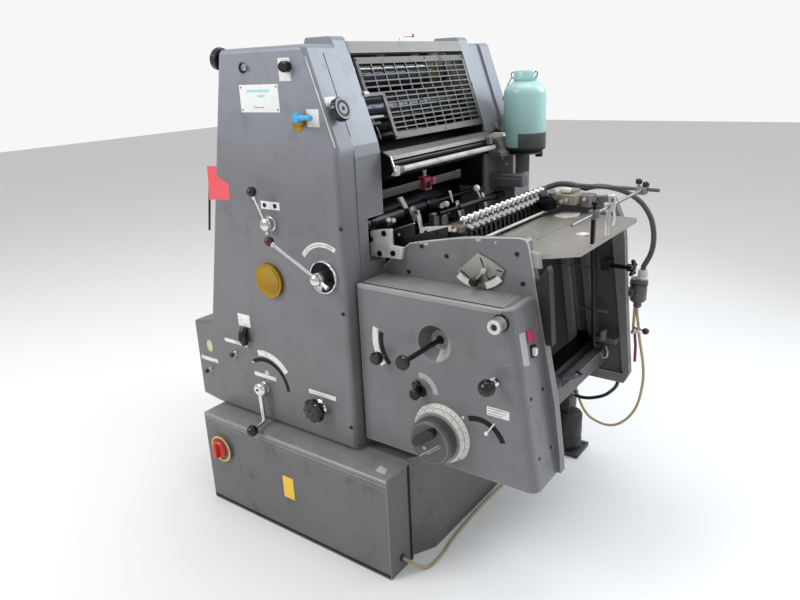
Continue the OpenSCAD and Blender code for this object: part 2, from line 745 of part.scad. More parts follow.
// The sheet-metal guard over the cylinders on the delivery side, along the frames' left edge.
guard_sheet = 8;
module rear_guard() {
    z0 = cover_top - rear_drop - rear_h;
    z1 = cover_top - rear_drop;
    color(paint) along_y(-cover_y + edge_r, cover_y - edge_r) polygon([
        [left_x(z0) - 0.03, z0], [left_x(z1) - 0.03, z1], [left_x(z1) - guard_sheet, z1 + 2],
        [left_x(z0) - guard_sheet, z0 - 2]]);
}

// The curved hood between the frames, from the shoulder up to the rear guard.
hood_t = 5;
module delivery_hood() {
    z0 = shoulder_z + 20;
    z1 = cover_top - rear_drop - rear_h + 40;
    span = z1 - z0;
    outer = [for (i = [0:8]) let (t = i / 8)
        [left_x(z0) - 40 + (left_x(z1) - left_x(z0) + 60) * pow(t, 0.7) , z0 + span * t]];
    color(paint) along_y(-inner_y, inner_y) polygon(concat(outer,
        [for (i = [8:-1:0]) outer[i] + [hood_t, 0]]));
}

plate_y = 30;
module delivery_frame() {
    color(paint) for (side = [-1, 1])
        along_y(side > 0 ? inner_y - plate_y : -inner_y, side > 0 ? inner_y : -inner_y + plate_y)
            polygon([[shoulder_x + 60, 500], [shoulder_x + 60, 700], [shoulder_x - 60, delivery_h + 40],
                [delivery_x + 30, delivery_h], [delivery_x, delivery_h - 40], [delivery_x, 380],
                [-480, 380], [-418, pedestal_h], [-360, pedestal_h]]);
    color(paint_dark) block([delivery_x + 8, -inner_y + plate_y, delivery_h - 60],
        [delivery_x + 38, inner_y - plate_y, delivery_h - 20]);
}

module delivery_board() {
    color(steel) block([delivery_x + 50, -inner_y + plate_y, delivery_z - 20],
        [-430, inner_y - plate_y, delivery_z]);
}

// The levers on the operator's cover: hub places in X and Z, and each ball's place.
throw_hub = [-62, 1047];
throw_ball = [-76, 1149];
throw_r = 20;
speed_hub = [140, 908];
speed_ball = [-13, 1010];
crank_hub = [-172, cover_z0 + 122];
crank_knee = [-161, cover_z0 + 10];
crank_ball = [-140, cover_z0 + 16];
star_c = [80, 471];
dial_c = [508, 486];
fan_c = [577, 945];
fan_knob = [556, 916];
tap_c = [120, cover_top - 186];
disc_c = [-88, 864];
tap_h = 26;
hub_plate = 10;
module lever_plates() {
    color(steel) {
        bar_y(throw_hub[0], throw_hub[1], throw_r + 4, -cover_y - 6, -cover_y);
        bar_y(speed_hub[0], speed_hub[1], 51, -cover_y - hub_plate, -cover_y);
        bar_y(crank_hub[0], crank_hub[1], 24, -cover_y - hub_plate, -cover_y);
        bar_y(tap_c[0], tap_c[1], 12, -cover_y - tap_h, -cover_y);
        translate([dial_c[0], cabinet_y, dial_c[1]]) rotate([90, 0, 0])
            cylinder(h = flange_h, r1 = flange_r, r2 = dial_r + 8);
        bar_y(fan_c[0], fan_c[1], 20, panel_y - 8, panel_y);
    }
}

// The thick brass disc on the operator's cover.
module brass_disc() {
    color([0.7, 0.54, 0.18]) bar_y(disc_c[0], disc_c[1], 55, -cover_y - 12, -cover_y);
}

// A ball turned on the end of a rod that comes from the point a, with flats at its ends.
module end_ball(a, b, r) {
    d = b - a;
    translate(b) rotate([0, acos(d[2] / norm(d)), atan2(d[1], d[0])])
        rotate_extrude($fn = 32) polygon(concat([[0, -r * cos(20)]],
            [for (k = [-70:20:70]) [r * cos(k), r * sin(k)]], [[0, r * cos(20)]]));
}

// A hub on its plate, with a rod from it to a ball at the depth ball_y.
module lever(hub, ball, seat, front, ball_y, hub_r, r) {
    from = [hub[0], (seat + front) / 2, hub[1]];
    to = [ball[0], ball_y, ball[1]];
    color(steel) bar_y(hub[0], hub[1], hub_r, front, seat - seat_gap);
    color(steel) rod(from, to, r);
    color(black) end_ball(from, to, ball_r);
}

module throw_lever() {
    lever(throw_hub, throw_ball, -cover_y - 6, -cover_y - 34, -cover_y - 50, throw_r, rod_r - 1);
}

module speed_lever() {
    seat = -cover_y - hub_plate;
    lever(speed_hub, speed_ball, seat, -cover_y - 52, -cover_y - 60, 20, rod_r);
    color(steel) rod([speed_hub[0], seat - 20, speed_hub[1]], [speed_hub[0] + 37, seat - 22,
        speed_hub[1] - 20], rod_r + 2);
}

// The print lever hangs down in front of the box, with its knee bent outwards.
module crank() {
    seat = -cover_y - hub_plate;
    knee = [crank_knee[0], -cover_y - 30, crank_knee[1]];
    ball = [crank_ball[0], box_y - 24, crank_ball[1]];
    color(steel) {
        bar_y(crank_hub[0], crank_hub[1], 19, seat - 30, seat - seat_gap);
        rod([crank_hub[0], seat - 15, crank_hub[1]], knee, rod_r + 1);
        translate(knee) sphere(r = rod_r + 2);
        rod(knee, ball, rod_r);
    }
    color(black) end_ball(knee, ball, ball_r + 4);
}

module star_knob() {
    color(black) {
        bar_y(star_c[0], star_c[1], 14, -cover_y - 22, -cover_y - seat_gap);
        along_y(-cover_y - 46, -cover_y - 22) translate(star_c) polygon([for (a = [0:6:354])
            (star_r - 5 + 5 * cos(7 * a)) * [cos(a), sin(a)]]);
    }
}

knob_y = -cover_y + 40;
slant_knob_z = cover_top - 178;
module slant_knob() {
    color(black) translate([slant_x(slant_knob_z), knob_y, slant_knob_z])
        rotate([0, 90 - slant, 0]) {
            translate([0, 0, seat_gap]) cylinder(h = 14, r = 13);
            translate([0, 0, 14]) cylinder(h = 22, r = wheel_r);
        }
}

rear_knob_z = cover_top - 32;
rear_wheel_r = 33;
module rear_knob() {
    color(black) translate([left_x(rear_knob_z), knob_y, rear_knob_z]) rotate([0, -90 + left_lean, 0]) {
        translate([0, 0, seat_gap]) cylinder(h = 19, r = 12);
        translate([0, 0, 19]) cylinder(h = 24, r = rear_wheel_r);
    }
}

module speed_dial() {
    seat = cabinet_y - flange_h;
    color(black) {
        bar_y(dial_c[0], dial_c[1], dial_r, seat - 30, seat - seat_gap);
        translate([dial_c[0], 0, dial_c[1]]) rotate([0, -24, 0]) block([-dial_r + 10, seat - 52, 6],
            [dial_r - 10, seat - 30, dial_r - 20]);
    }
}

module fan_pointer() {
    color(black) {
        bar_y(fan_c[0], fan_c[1], 11, panel_y - 22, panel_y - 8 - seat_gap);
        rod([fan_c[0], panel_y - 16, fan_c[1]], [fan_knob[0], panel_y - 20, fan_knob[1]], 5);
        bar_y(fan_knob[0], fan_knob[1], 9, panel_y - 32, panel_y - 10);
    }
}

module tap_handle() {
    color([0.18, 0.53, 0.78]) {
        bar_y(tap_c[0], tap_c[1], 14, -cover_y - tap_h - 18, -cover_y - tap_h - seat_gap);
        translate([tap_c[0], -cover_y - tap_h - 16, tap_c[1]]) rotate([0, -16, 0])
            translate([0, 0, -8]) cube([56, 12, 16]);
    }
}

module pull_rod() {
    color(black) {
        bar_y(recess_x, recess_z, 7, cabinet_y - 140, cabinet_y + recess_d - 0.4);
        bar_y(recess_x, recess_z, 18, cabinet_y - 154, cabinet_y - 134);
    }
}

// The small lever in the arc slot, at its resting angle.
arc_rest = 206;
module arc_lever() {
    x = arc_c[0] + arc_r * cos(arc_rest);
    z = arc_c[1] + arc_r * sin(arc_rest);
    color(black) {
        bar_y(x, z, slot_w - 1, cabinet_y - 26, cabinet_y + 13.7);
        bar_y(x, z, 17, cabinet_y - 42, cabinet_y - 22);
    }
}

// Fixed knobs and buttons: place in X and Z, radius and height.
cover_knobs = [[66, cover_top - 55, 14, 26], [-110, cover_top - 53, 12, 6], [-244, 645, 15, 24],
    [-304, 569, 9, 16], [-454, 474, 10, 16]];
cabinet_knobs = [[420, 590, 17, 26], [441, 622, 11, 22], [452, 608, 13, 22], [692, 850, 13, 42],
    [678, 691, 6, 34]];
module small_knobs() {
    color(black) {
        for (k = cover_knobs) bar_y(k[0], k[1], k[2], -cover_y - k[3], -cover_y);
        for (k = cabinet_knobs) bar_y(k[0], k[1], k[2], cabinet_y - k[3], cabinet_y);
        end_ball([678, cabinet_y, 691], [678, cabinet_y - 47, 691], 20);
    }
}

pedestal();
switch_box();
main_switch();
operator_side_frame();
operator_side_cover();
drive_side_frame();
drive_side_cover();
top_bar();
ink_duct();
ink_rollers();
water_tray();
cylinders();
grid_guard();
cross_rods();
bar_clamp();
feed_board();
board_bracket();
register_shaft();
suction_head();
air_manifold();
feeder_cabinet();
feeder_side_frame_operator();
feeder_side_frame_drive();
cross_beam();
lift_rods();
pile_table();
rear_rods();
drive_post();
bottle();
bottle_bracket();
filter_pot();
corrugated_hose();
cream_hose();
pump_hose();
foot_cable();
pump();
rear_guard();
delivery_hood();
delivery_frame();
delivery_board();
lever_plates();
brass_disc();
throw_lever();
speed_lever();
crank();
star_knob();
slant_knob();
rear_knob();
speed_dial();
fan_pointer();
tap_handle();
pull_rod();
arc_lever();
pile_handwheel();
small_knobs();
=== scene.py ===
import math

import bmesh
import bpy
from mathutils import Matrix, Vector


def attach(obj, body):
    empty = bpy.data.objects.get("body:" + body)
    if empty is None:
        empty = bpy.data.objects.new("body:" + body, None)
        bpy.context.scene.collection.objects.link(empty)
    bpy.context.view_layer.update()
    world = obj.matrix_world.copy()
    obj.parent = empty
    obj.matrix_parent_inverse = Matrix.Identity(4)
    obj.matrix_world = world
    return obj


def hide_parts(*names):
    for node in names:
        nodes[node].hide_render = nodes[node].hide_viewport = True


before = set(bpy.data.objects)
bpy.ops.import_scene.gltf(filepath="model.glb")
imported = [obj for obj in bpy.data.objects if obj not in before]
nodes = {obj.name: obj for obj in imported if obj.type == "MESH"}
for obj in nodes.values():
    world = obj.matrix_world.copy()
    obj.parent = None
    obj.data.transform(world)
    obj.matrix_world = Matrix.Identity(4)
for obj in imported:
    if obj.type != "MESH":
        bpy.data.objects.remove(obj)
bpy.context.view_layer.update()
print("frame loaded:", len(nodes), "nodes")

# ---- camera, floor and lamps ----

view = {
    "place": (1.455, -1.910, 1.48),
    "up": (-0.1580, 0.2850, 0.9453),
    "back": (0.5652, -0.7589, 0.3232),
    "lens": 30.915,
    "sensor": 36.0,
}


def setCamera(values):
    back = Vector(values["back"]).normalized()
    right = Vector(values["up"]).cross(back).normalized()
    up = back.cross(right)
    data = bpy.data.cameras.new("camera")
    data.lens, data.sensor_width = values["lens"], values["sensor"]
    data.sensor_fit = "HORIZONTAL"
    data.clip_start, data.clip_end = 0.05, 60
    camera = bpy.data.objects.new("camera", data)
    turn = Matrix((right, up, back)).transposed().to_4x4()
    camera.matrix_world = Matrix.Translation(values["place"]) @ turn
    bpy.context.scene.collection.objects.link(camera)
    bpy.context.scene.camera = camera


setCamera(view)


def tone(code, gain=1.0):
    parts = [int(code[i : i + 2], 16) / 255 for i in (1, 3, 5)]
    line = [p / 12.92 if p <= 0.04045 else ((p + 0.055) / 1.055) ** 2.4 for p in parts]
    return tuple(min(1.0, v * gain) for v in line)


# A socket that does maths: each expression adds its Math nodes.
class Wire:
    def __init__(self, finish, socket):
        self.finish, self.socket = finish, socket

    def math(self, operation, first, second):
        return self.finish.node("ShaderNodeMath", {"operation": operation}, {0: first, 1: second})

    def __add__(self, other):
        return self.math("ADD", self, other)

    def __sub__(self, other):
        return self.math("SUBTRACT", self, other)

    def __mul__(self, other):
        return self.math("MULTIPLY", self, other)

    def __rsub__(self, other):
        return self.math("SUBTRACT", other, self)

    __radd__ = __add__


class Finish:
    def __init__(self, name):
        self.material = bpy.data.materials.new(name)
        self.material.use_nodes = True
        self.tree = self.material.node_tree
        self.shader = self.tree.nodes["Principled BSDF"]
        self.coordinates = self.node("ShaderNodeTexCoord", {}, {}, "Object")

    def feed(self, socket, value):
        if isinstance(value, Wire):
            self.tree.links.new(value.socket, socket)
        elif socket.type == "RGBA" and len(value) == 3:
            socket.default_value = (*value, 1)
        else:
            socket.default_value = value

    def node(self, kind, settings, sockets, out=0):
        made = self.tree.nodes.new(kind)
        for key, value in settings.items():
            setattr(made, key, value)
        for key, value in sockets.items():
            self.feed(made.inputs[key], value)
        return Wire(self, made.outputs[out])

    def set(self, **values):
        for key, value in values.items():
            self.feed(self.shader.inputs[key.replace("_", " ")], value)

    def stretched(self, scale, turn=(0, 0, 0)):
        return self.node("ShaderNodeMapping", {}, {"Vector": self.coordinates, "Scale": scale,
                                                   "Rotation": turn})

    def noise(self, scale, detail=3.0, rough=0.55, vector=None):
        sockets = {"Vector": vector or self.coordinates, "Scale": scale, "Detail": detail,
                   "Roughness": rough}
        return self.node("ShaderNodeTexNoise", {}, sockets)

    def step(self, value, low, high):
        sockets = {"Value": value, "From Min": low, "From Max": high}
        return self.node("ShaderNodeMapRange", {"interpolation_type": "SMOOTHSTEP"}, sockets)

    def mix(self, factor, first, second):
        return self.node("ShaderNodeMix", {"data_type": "RGBA"}, {0: factor, 6: first, 7: second}, 2)

    def edges(self, radius):
        soft = self.node("ShaderNodeBevel", {"samples": 4}, {"Radius": radius})
        hard = self.node("ShaderNodeNewGeometry", {}, {}, "Normal")
        return 1 - self.node("ShaderNodeVectorMath", {"operation": "DOT_PRODUCT"}, {0: soft, 1: hard},
                             "Value")

    def height(self):
        return self.node("ShaderNodeSeparateXYZ", {}, {0: self.coordinates}, "Z")

    def bump(self, height, strength, distance=0.001):
        sockets = {"Height": height, "Strength": strength, "Distance": distance}
        self.set(Normal=self.node("ShaderNodeBump", {}, sockets))


finishes = {}


def enamel(name, colour, chips=0.6, dirt=0.35, rough=0.36, chip="#b9b6ae", spread=0.07, darkBelow=0.0, paintedSheen=0.0):
    f = Finish(name)
    base = f.mix(f.step(f.noise(2.3), 0.3, 0.7), tone(colour, 1 - spread), tone(colour, 1 + spread))
    # darker towards the bottom, set by height alone
    if darkBelow:
        base = f.mix(f.step(f.height(), 1.2, 0.35) * darkBelow * 2, base, tone(colour, 0.5))
    # painted sheen: above about 1.1 m the colour turns pale blue, a painted reflection of the window light
    if paintedSheen:
        base = f.mix(f.step(f.height(), 1.1, 1.5) * paintedSheen, base, tone("#a8b0c2"))
    grime = f.step(f.noise(11, 6, 0.68), 0.5, 0.8) * dirt
    smear = f.step(f.noise(1, 4, 0.6, f.stretched((14, 14, 2.6))), 0.55, 0.85) * (0.6 * dirt)
    scrape = f.step(f.noise(1, 2, 0.5, f.stretched((18, 18, 260), (0.5, 0.25, 0))), 0.735, 0.76) * chips
    worn = f.step(f.edges(0.005) * (0.25 + f.noise(42, 5, 0.7)), 0.035, 0.1) * chips
    spots = f.step(f.noise(130, 2), 0.755, 0.79) * chips
    base = f.mix(grime, base, tone("#35302b"))
    base = f.mix(smear, base, tone("#4a4540"))
    base = f.mix(scrape * 0.55, base, tone("#a5a4a2"))
    base = f.mix(worn, base, tone(chip))
    base = f.mix(spots * 0.5, base, tone("#2c2926"))
    f.set(Base_Color=base, Roughness=rough + grime * 0.35 + smear * 0.2, IOR=1.5)
    f.bump(f.noise(700, 2) * 0.35 - worn * 0.8 - scrape * 0.3, 0.16, 0.0006)
    finishes[name] = f.material


def metal(name, colour, rough=0.28, rust=0.2, stain="#4b3a2a", grain=(8, 400, 8), shine=0.08):
    f = Finish(name)
    lines = f.noise(1, 3, 0.6, f.stretched(grain))
    base = f.mix(lines, tone(colour, 0.86), tone(colour, 1.1))
    marks = f.step(f.noise(23, 6, 0.7), 0.52, 0.78) * rust
    base = f.mix(marks, base, tone(stain))
    f.set(Base_Color=base, Metallic=1 - marks * 0.75, Roughness=rough + lines * shine + marks * 0.4)
    f.bump(lines * 0.5 + marks * 0.5, 0.08, 0.0005)
    finishes[name] = f.material


def plastic(name, colour, rough=0.25, dust=0.25, bump=0.06, see=0.0):
    f = Finish(name)
    dusty = f.step(f.noise(17, 5, 0.66), 0.5, 0.85) * dust
    base = f.mix(dusty, tone(colour), tone("#8d877c"))
    f.set(Base_Color=base, Roughness=rough + dusty * 0.4, IOR=1.49)
    if see:
        f.set(Transmission_Weight=see)
    f.bump(f.noise(340, 3), bump, 0.0006)
    finishes[name] = f.material


def printed(name, colour, mark, scale):
    f = Finish(name)
    rub = f.step(f.noise(38, 5, 0.7), 0.5, 0.8)
    f.set(Base_Color=f.mix(rub * scale, tone(colour), tone(mark)), Roughness=0.42 + rub * 0.2, IOR=1.5)
    f.bump(f.noise(220, 3), 0.05, 0.0005)
    finishes[name] = f.material


enamel("bodyGrey", "#737377", chips=0.6, dirt=0.3, darkBelow=0.14, paintedSheen=0.3)
enamel("panelGrey", "#717175", chips=0.7, dirt=0.35, darkBelow=0.06)
enamel("baseGrey", "#606062", chips=0.5, dirt=0.5, rough=0.42)
enamel("castGrey", "#716f6f", chips=0.7, dirt=0.6, rough=0.45)
enamel("lipGrey", "#8f8e8f", chips=1.0, dirt=0.35)
enamel("beamGrey", "#5a585b", chips=0.5, dirt=0.6, rough=0.5)
enamel("redEnamel", "#8c2540", chips=0.5, dirt=0.5)
enamel("creamCasting", "#8d8573", chips=0.4, dirt=0.7, rough=0.55)
enamel("pumpBlack", "#2a292c", chips=0.5, dirt=0.6, rough=0.45, chip="#807c78")
enamel("barLight", "#8e8d8a", chips=0.9, dirt=0.5, rough=0.62)
enamel("topGrey", "#858485", chips=0.8, dirt=0.4)
enamel("lidPale", "#7f7e80", chips=0.8, dirt=0.4)
enamel("brownBlock", "#5c4843", chips=0.4, dirt=0.6, rough=0.5)
metal("brightSteel", "#c4c4c6", 0.26, 0.3)
metal("chrome", "#dadadc", 0.1, 0.12, shine=0.03)
metal("dullSteel", "#85837f", 0.4, 0.55)
metal("darkSteel", "#3c393a", 0.38, 0.5, "#1c1917")
metal("inkedSteel", "#222124", 0.34, 0.5, "#151312")
enamel("castLight", "#b9b6b1", chips=0.3, dirt=0.7, rough=0.34, chip="#dcdad6")
enamel("paleCast", "#cfcdc9", chips=0.3, dirt=0.55, rough=0.3, chip="#efeeea")
metal("barSteel", "#5b5957", 0.45, 0.5, "#2a2623")
metal("fanSteel", "#a3a19c", 0.4, 0.4, "#5a544c")
enamel("innerGrey", "#4e4d4e", chips=0.5, dirt=0.7, rough=0.5)
enamel("toolGrey", "#4a494a", chips=0.8, dirt=0.4, rough=0.3, chip="#9a9894")
metal("tableMetal", "#bab5ae", 0.36, 0.42, "#6a6056")
metal("guardMetal", "#625f5c", 0.5, 0.6, "#2e2a27")
metal("brass", "#ad8a34", 0.34, 0.35, "#54400f")
plastic("blackKnob", "#141416", 0.13, 0.1)
plastic("wheelFace", "#2a2e31", 0.6, 0.3)
plastic("redKnob", "#4b161c", 0.16, 0.12)
plastic("rubber", "#18181a", 0.42, 0.35, 0.3)
plastic("blackHole", "#060607", 0.8, 0.05)
plastic("railBlack", "#0f0f11", 0.5, 0.1)
plastic("hoseRubber", "#4d4a4c", 0.5, 0.5, 0.3)
plastic("creamTube", "#b8a87f", 0.4, 0.45)
plastic("cableSheath", "#a29476", 0.45, 0.6)
plastic("blueTap", "#4a9fd6", 0.3, 0.2)
plastic("redPlastic", "#c23a32", 0.28, 0.15)
plastic("redButton", "#b8305a", 0.35, 0.1)
plastic("yellowPlate", "#e9bd3a", 0.4, 0.2)
plastic("amberRing", "#e0ac48", 0.35, 0.2)
plastic("redTape", "#e0575c", 0.42, 0.12)
plastic("paleYellow", "#bfc29a", 0.45, 0.3)
plastic("whitePiece", "#e4e2dc", 0.3, 0.3)
plastic("bottlePlastic", "#a4cdca", 0.26, 0.25, 0.1)
plastic("bottleDark", "#3a3e40", 0.3, 0.3)
plastic("smokyPot", "#4b4c4d", 0.14, 0.35)
plastic("creamCollar", "#c9c5ba", 0.4, 0.5)
plastic("inkGreen", "#5d6233", 0.2, 0.5)
plastic("printTeal", "#9fd3d6", 0.4, 0.3)
plastic("inkPurple", "#2c2846", 0.2, 0.3)
printed("plateWhite", "#e3e4e4", "#8fb0b4", 0.6)
printed("labelWhite", "#dcdcd8", "#77757a", 0.8)
printed("scaleWhite", "#d8d7d2", "#8a8885", 0.5)
printed("plateGrey", "#a2a2a5", "#5e5d60", 0.6)
printed("labelGrey", "#adadb0", "#6a696c", 0.5)
print("finishes ready:", len(finishes))

# ---- the floor, the lamps and the sky ----

studio = {
    "floor": 0.86,
    "sky": 0.62,
    "backdrop": (0.93, 0.93, 0.94, 1),
    "daylight": (0.82, 0.92, 1.0),
    "key": ((-1.9, -3.3, 3.4), (0, 0, 0.9), 2.6, 101),
    "fill": ((3.6, -1.2, 2.6), (0.3, 0, 0.8), 2.2, 8),
    "top": ((0.3, 0.4, 4.2), (0, 0, 0.5), 3.0, 55),
    "window": ((1.64, 1.78, 2.44), (0.17, -0.37, 1.40), 1.5, 46),
}


def setStudio(values):
    world = bpy.data.worlds.new("studio")
    bpy.context.scene.world = world
    world.use_nodes = True
    tree = world.node_tree
    tree.nodes.clear()
    out = tree.nodes.new("ShaderNodeOutputWorld")
    kinds = ("ShaderNodeBackground", "ShaderNodeBackground", "ShaderNodeMixShader")
    plain, seen, blend = (tree.nodes.new(kind) for kind in kinds)
    path = tree.nodes.new("ShaderNodeLightPath")
    plain.inputs["Color"].default_value = (1, 1, 1, 1)
    plain.inputs["Strength"].default_value = values["sky"]
    seen.inputs["Color"].default_value = values["backdrop"]
    seen.inputs["Strength"].default_value = 1.0
    tree.links.new(path.outputs["Is Camera Ray"], blend.inputs[0])
    tree.links.new(plain.outputs[0], blend.inputs[1])
    tree.links.new(seen.outputs[0], blend.inputs[2])
    tree.links.new(blend.outputs[0], out.inputs[0])
    for name in ("key", "fill", "top", "window"):
        place, target, size, power = values[name]
        data = bpy.data.lights.new(name, "AREA")
        data.shape, data.size, data.energy = "DISK", size, power
        if name == "window":
            data.color = values["daylight"]
        lamp = bpy.data.objects.new(name, data)
        lamp.visible_camera = False
        lamp.location = place
        lamp.rotation_euler = (Vector(target) - Vector(place)).to_track_quat("-Z", "Y").to_euler()
        bpy.context.scene.collection.objects.link(lamp)
    bpy.ops.mesh.primitive_plane_add(size=30, location=(0, 0, 0))
    floor = bpy.context.object
    floor.name = "floor"
    f = Finish("floorPale")
    f.set(Base_Color=(values["floor"],) * 3, Roughness=0.8)
    floor.data.materials.append(f.material)


setStudio(studio)
bpy.context.scene.view_settings.view_transform = "Standard"
print("camera, floor and lamps set")

# ---- shapes, all in millimetres until the piece is closed ----

outward, across, upward, rightward = (0, -1, 0), (0, 1, 0), (0, 0, 1), (1, 0, 0)


class Piece:
    def __init__(self, name, body="press", slot=None, replaces=(), smooth=38):
        self.name, self.body, self.slot, self.gone, self.smooth = name, body, slot, replaces, smooth
        self.mesh = bmesh.new()
        self.done = self.mesh.faces.layers.int.new("done")
        self.used = []

    # the faces made since the last paint (a bevel shuffles their order, so they are marked)
    def fresh(self):
        return [face for face in self.mesh.faces if not face[self.done]]

    def paint(self, finish):
        if finish not in self.used:
            self.used.append(finish)
        for face in self.fresh():
            face.material_index = self.used.index(finish)
            face[self.done] = 1

    # a profile of (radius, height) turned about an axis, closed at both ends unless it is a tube
    def turned(self, profile, origin, axis, finish, steps=40, bend=None, tube=False):
        turn = Vector(upward).rotation_difference(Vector(axis)).to_matrix()
        if not tube:
            first, last = profile[0], profile[-1]
            profile = [(0, first[1])] * (first[0] > 0) + profile + [(0, last[1])] * (last[0] > 0)
        rings = []
        for radius, rise in profile:
            ring = []
            for k in range(steps if radius > 0 else 1):
                a = 2 * math.pi * k / steps
                wide = radius * (bend(a, rise) if bend else 1)
                point = turn @ Vector((wide * math.cos(a), wide * math.sin(a), rise))
                ring.append(self.mesh.verts.new(point + Vector(origin)))
            rings.append(ring)
        for low, high in zip(rings, rings[1:]):
            for k in range(steps):
                l = (k + 1) % steps
                corners = [low[k % len(low)], low[l % len(low)], high[l % len(high)], high[k % len(high)]]
                corners = list(dict.fromkeys(corners))
                if len(corners) > 2:
                    self.mesh.faces.new(corners)
        for ring, flip in ((rings[0], True), (rings[-1], False)):
            if len(ring) > 1:
                self.mesh.faces.new(ring[::-1] if flip else ring)
        self.paint(finish)

    def drum(self, radius, low, high, origin, axis, finish, steps=40):
        self.turned([(radius, low), (radius, high)], origin, axis, finish, steps)

    def brick(self, low, high, finish, edge=1.5):
        size = Vector(high) - Vector(low)
        middle = (Vector(high) + Vector(low)) / 2
        made = bmesh.ops.create_cube(self.mesh, size=1)["verts"]
        bmesh.ops.scale(self.mesh, vec=size, verts=made)
        bmesh.ops.translate(self.mesh, vec=middle, verts=made)
        if edge:
            rim = list({e for v in made for e in v.link_edges})
            self.soften(rim, min(edge, min(size) * 0.45))
        self.paint(finish)

    def soften(self, rim, offset):
        bmesh.ops.bevel(self.mesh, geom=rim, offset=offset, segments=2, affect="EDGES", profile=0.6)

    # two like outlines and the walls between them
    def plate(self, low, high):
        near, far = ([self.mesh.verts.new(p) for p in outline] for outline in (low, high))
        faces = [self.mesh.faces.new(near), self.mesh.faces.new(far[::-1])]
        for i in range(len(near)):
            j = (i + 1) % len(near)
            faces.append(self.mesh.faces.new((near[j], near[i], far[i], far[j])))
        bmesh.ops.recalc_face_normals(self.mesh, faces=faces)
        return faces

    # an outline of (a, b) points, thick from low to high along the axis
    def slab(self, outline, low, high, finish, axis="Y", edge=0.0):
        at = "XYZ".index(axis)
        near = [(*p[:at], low, *p[at:]) for p in outline]
        faces = self.plate(near, [(*p[:at], high, *p[at:]) for p in outline])
        if edge:
            rim = list({e for f in faces[:2] for e in f.edges})
            self.soften(rim, edge)
        self.paint(finish)

    # a round bar through points, its radius a number or one per point
    def pipe(self, points, radius, finish, sides=14):
        points = [Vector(p) for p in points]
        angles = [2 * math.pi * k / sides for k in range(sides)]
        rings, side = [], None
        for i, p in enumerate(points):
            way = (points[min(i + 1, len(points) - 1)] - points[max(i - 1, 0)]).normalized()
            if side is None:
                side = way.orthogonal().normalized()
            side = (side - way * side.dot(way)).normalized()
            other = way.cross(side)
            r = radius[i] if isinstance(radius, (list, tuple)) else radius
            places = [p + r * (math.cos(a) * side + math.sin(a) * other) for a in angles]
            rings.append([self.mesh.verts.new(place) for place in places])
        for low, high in zip(rings, rings[1:]):
            for k in range(sides):
                l = (k + 1) % sides
                self.mesh.faces.new((low[k], low[l], high[l], high[k]))
        self.mesh.faces.new(rings[0][::-1])
        self.mesh.faces.new(rings[-1])
        self.paint(finish)

    def ball(self, centre, radius, finish, axis=outward):
        angles = [math.pi * k / 14 for k in range(1, 14)]
        profile = [(radius * math.sin(a), -radius * math.cos(a)) for a in angles]
        self.turned([(0, -radius), *profile, (0, radius)], centre, axis, finish, 32)

    def close(self):
        bmesh.ops.scale(self.mesh, vec=(0.001,) * 3, verts=self.mesh.verts)
        self.mesh.faces.layers.int.remove(self.done)
        data = bpy.data.meshes.new(self.name)
        self.mesh.to_mesh(data)
        self.mesh.free()
        for finish in self.used:
            data.materials.append(finishes[finish])
        data.polygons.foreach_set("use_smooth", [True] * len(data.polygons))
        data.set_sharp_from_angle(angle=math.radians(self.smooth))
        made = bpy.data.objects.new(self.name, data)
        bpy.context.scene.collection.objects.link(made)
        if self.body:
            settle(made, self.body, self.gone)
        return made


def settle(made, body, gone=()):
    if gone:
        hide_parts(*gone)
    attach(made, body)
    return made


def arc(centre, radius, start, stop, count):
    angles = [math.radians(start + (stop - start) * k / count) for k in range(count + 1)]
    return [(centre[0] + radius * math.cos(a), centre[1] + radius * math.sin(a)) for a in angles]


def dress(finish, names):
    for name in names:
        slots = nodes[name].data.materials
        if not slots:
            slots.append(finishes[finish])
        for i in range(len(slots)):
            slots[i] = finishes[finish]


# ---- repeated parts: one small part set on a line, a ring or a list of points ----

def makeTree(kind):
    tree = bpy.data.node_groups.new("repeat" + kind, "GeometryNodeTree")
    wanted = {"Geometry": "Geometry", "Part": "Object", "Finish": "Material", "Count": "Int",
              "Start": "Vector", "End": "Vector"}
    for name, sort in wanted.items():
        tree.interface.new_socket(name, in_out="INPUT", socket_type="NodeSocket" + sort)
    tree.interface.new_socket("Geometry", in_out="OUTPUT", socket_type="NodeSocketGeometry")
    given, out = tree.nodes.new("NodeGroupInput"), tree.nodes.new("NodeGroupOutput")
    info, put = tree.nodes.new("GeometryNodeObjectInfo"), tree.nodes.new("GeometryNodeInstanceOnPoints")
    real, paint = tree.nodes.new("GeometryNodeRealizeInstances"), tree.nodes.new("GeometryNodeSetMaterial")
    link = tree.links.new
    if kind == "Line":
        line = tree.nodes.new("GeometryNodeMeshLine")
        line.mode = "END_POINTS"
        link(given.outputs["Count"], line.inputs["Count"])
        link(given.outputs["Start"], line.inputs["Start Location"])
        link(given.outputs["End"], line.inputs["Offset"])
        link(line.outputs[0], put.inputs["Points"])
    else:
        link(given.outputs["Geometry"], put.inputs["Points"])
    link(given.outputs["Part"], info.inputs["Object"])
    link(info.outputs["Geometry"], put.inputs["Instance"])
    link(put.outputs[0], real.inputs[0])
    link(real.outputs[0], paint.inputs["Geometry"])
    link(given.outputs["Finish"], paint.inputs["Material"])
    link(paint.outputs[0], out.inputs[0])
    return tree


trees = {kind: makeTree(kind) for kind in ("Line", "Points")}


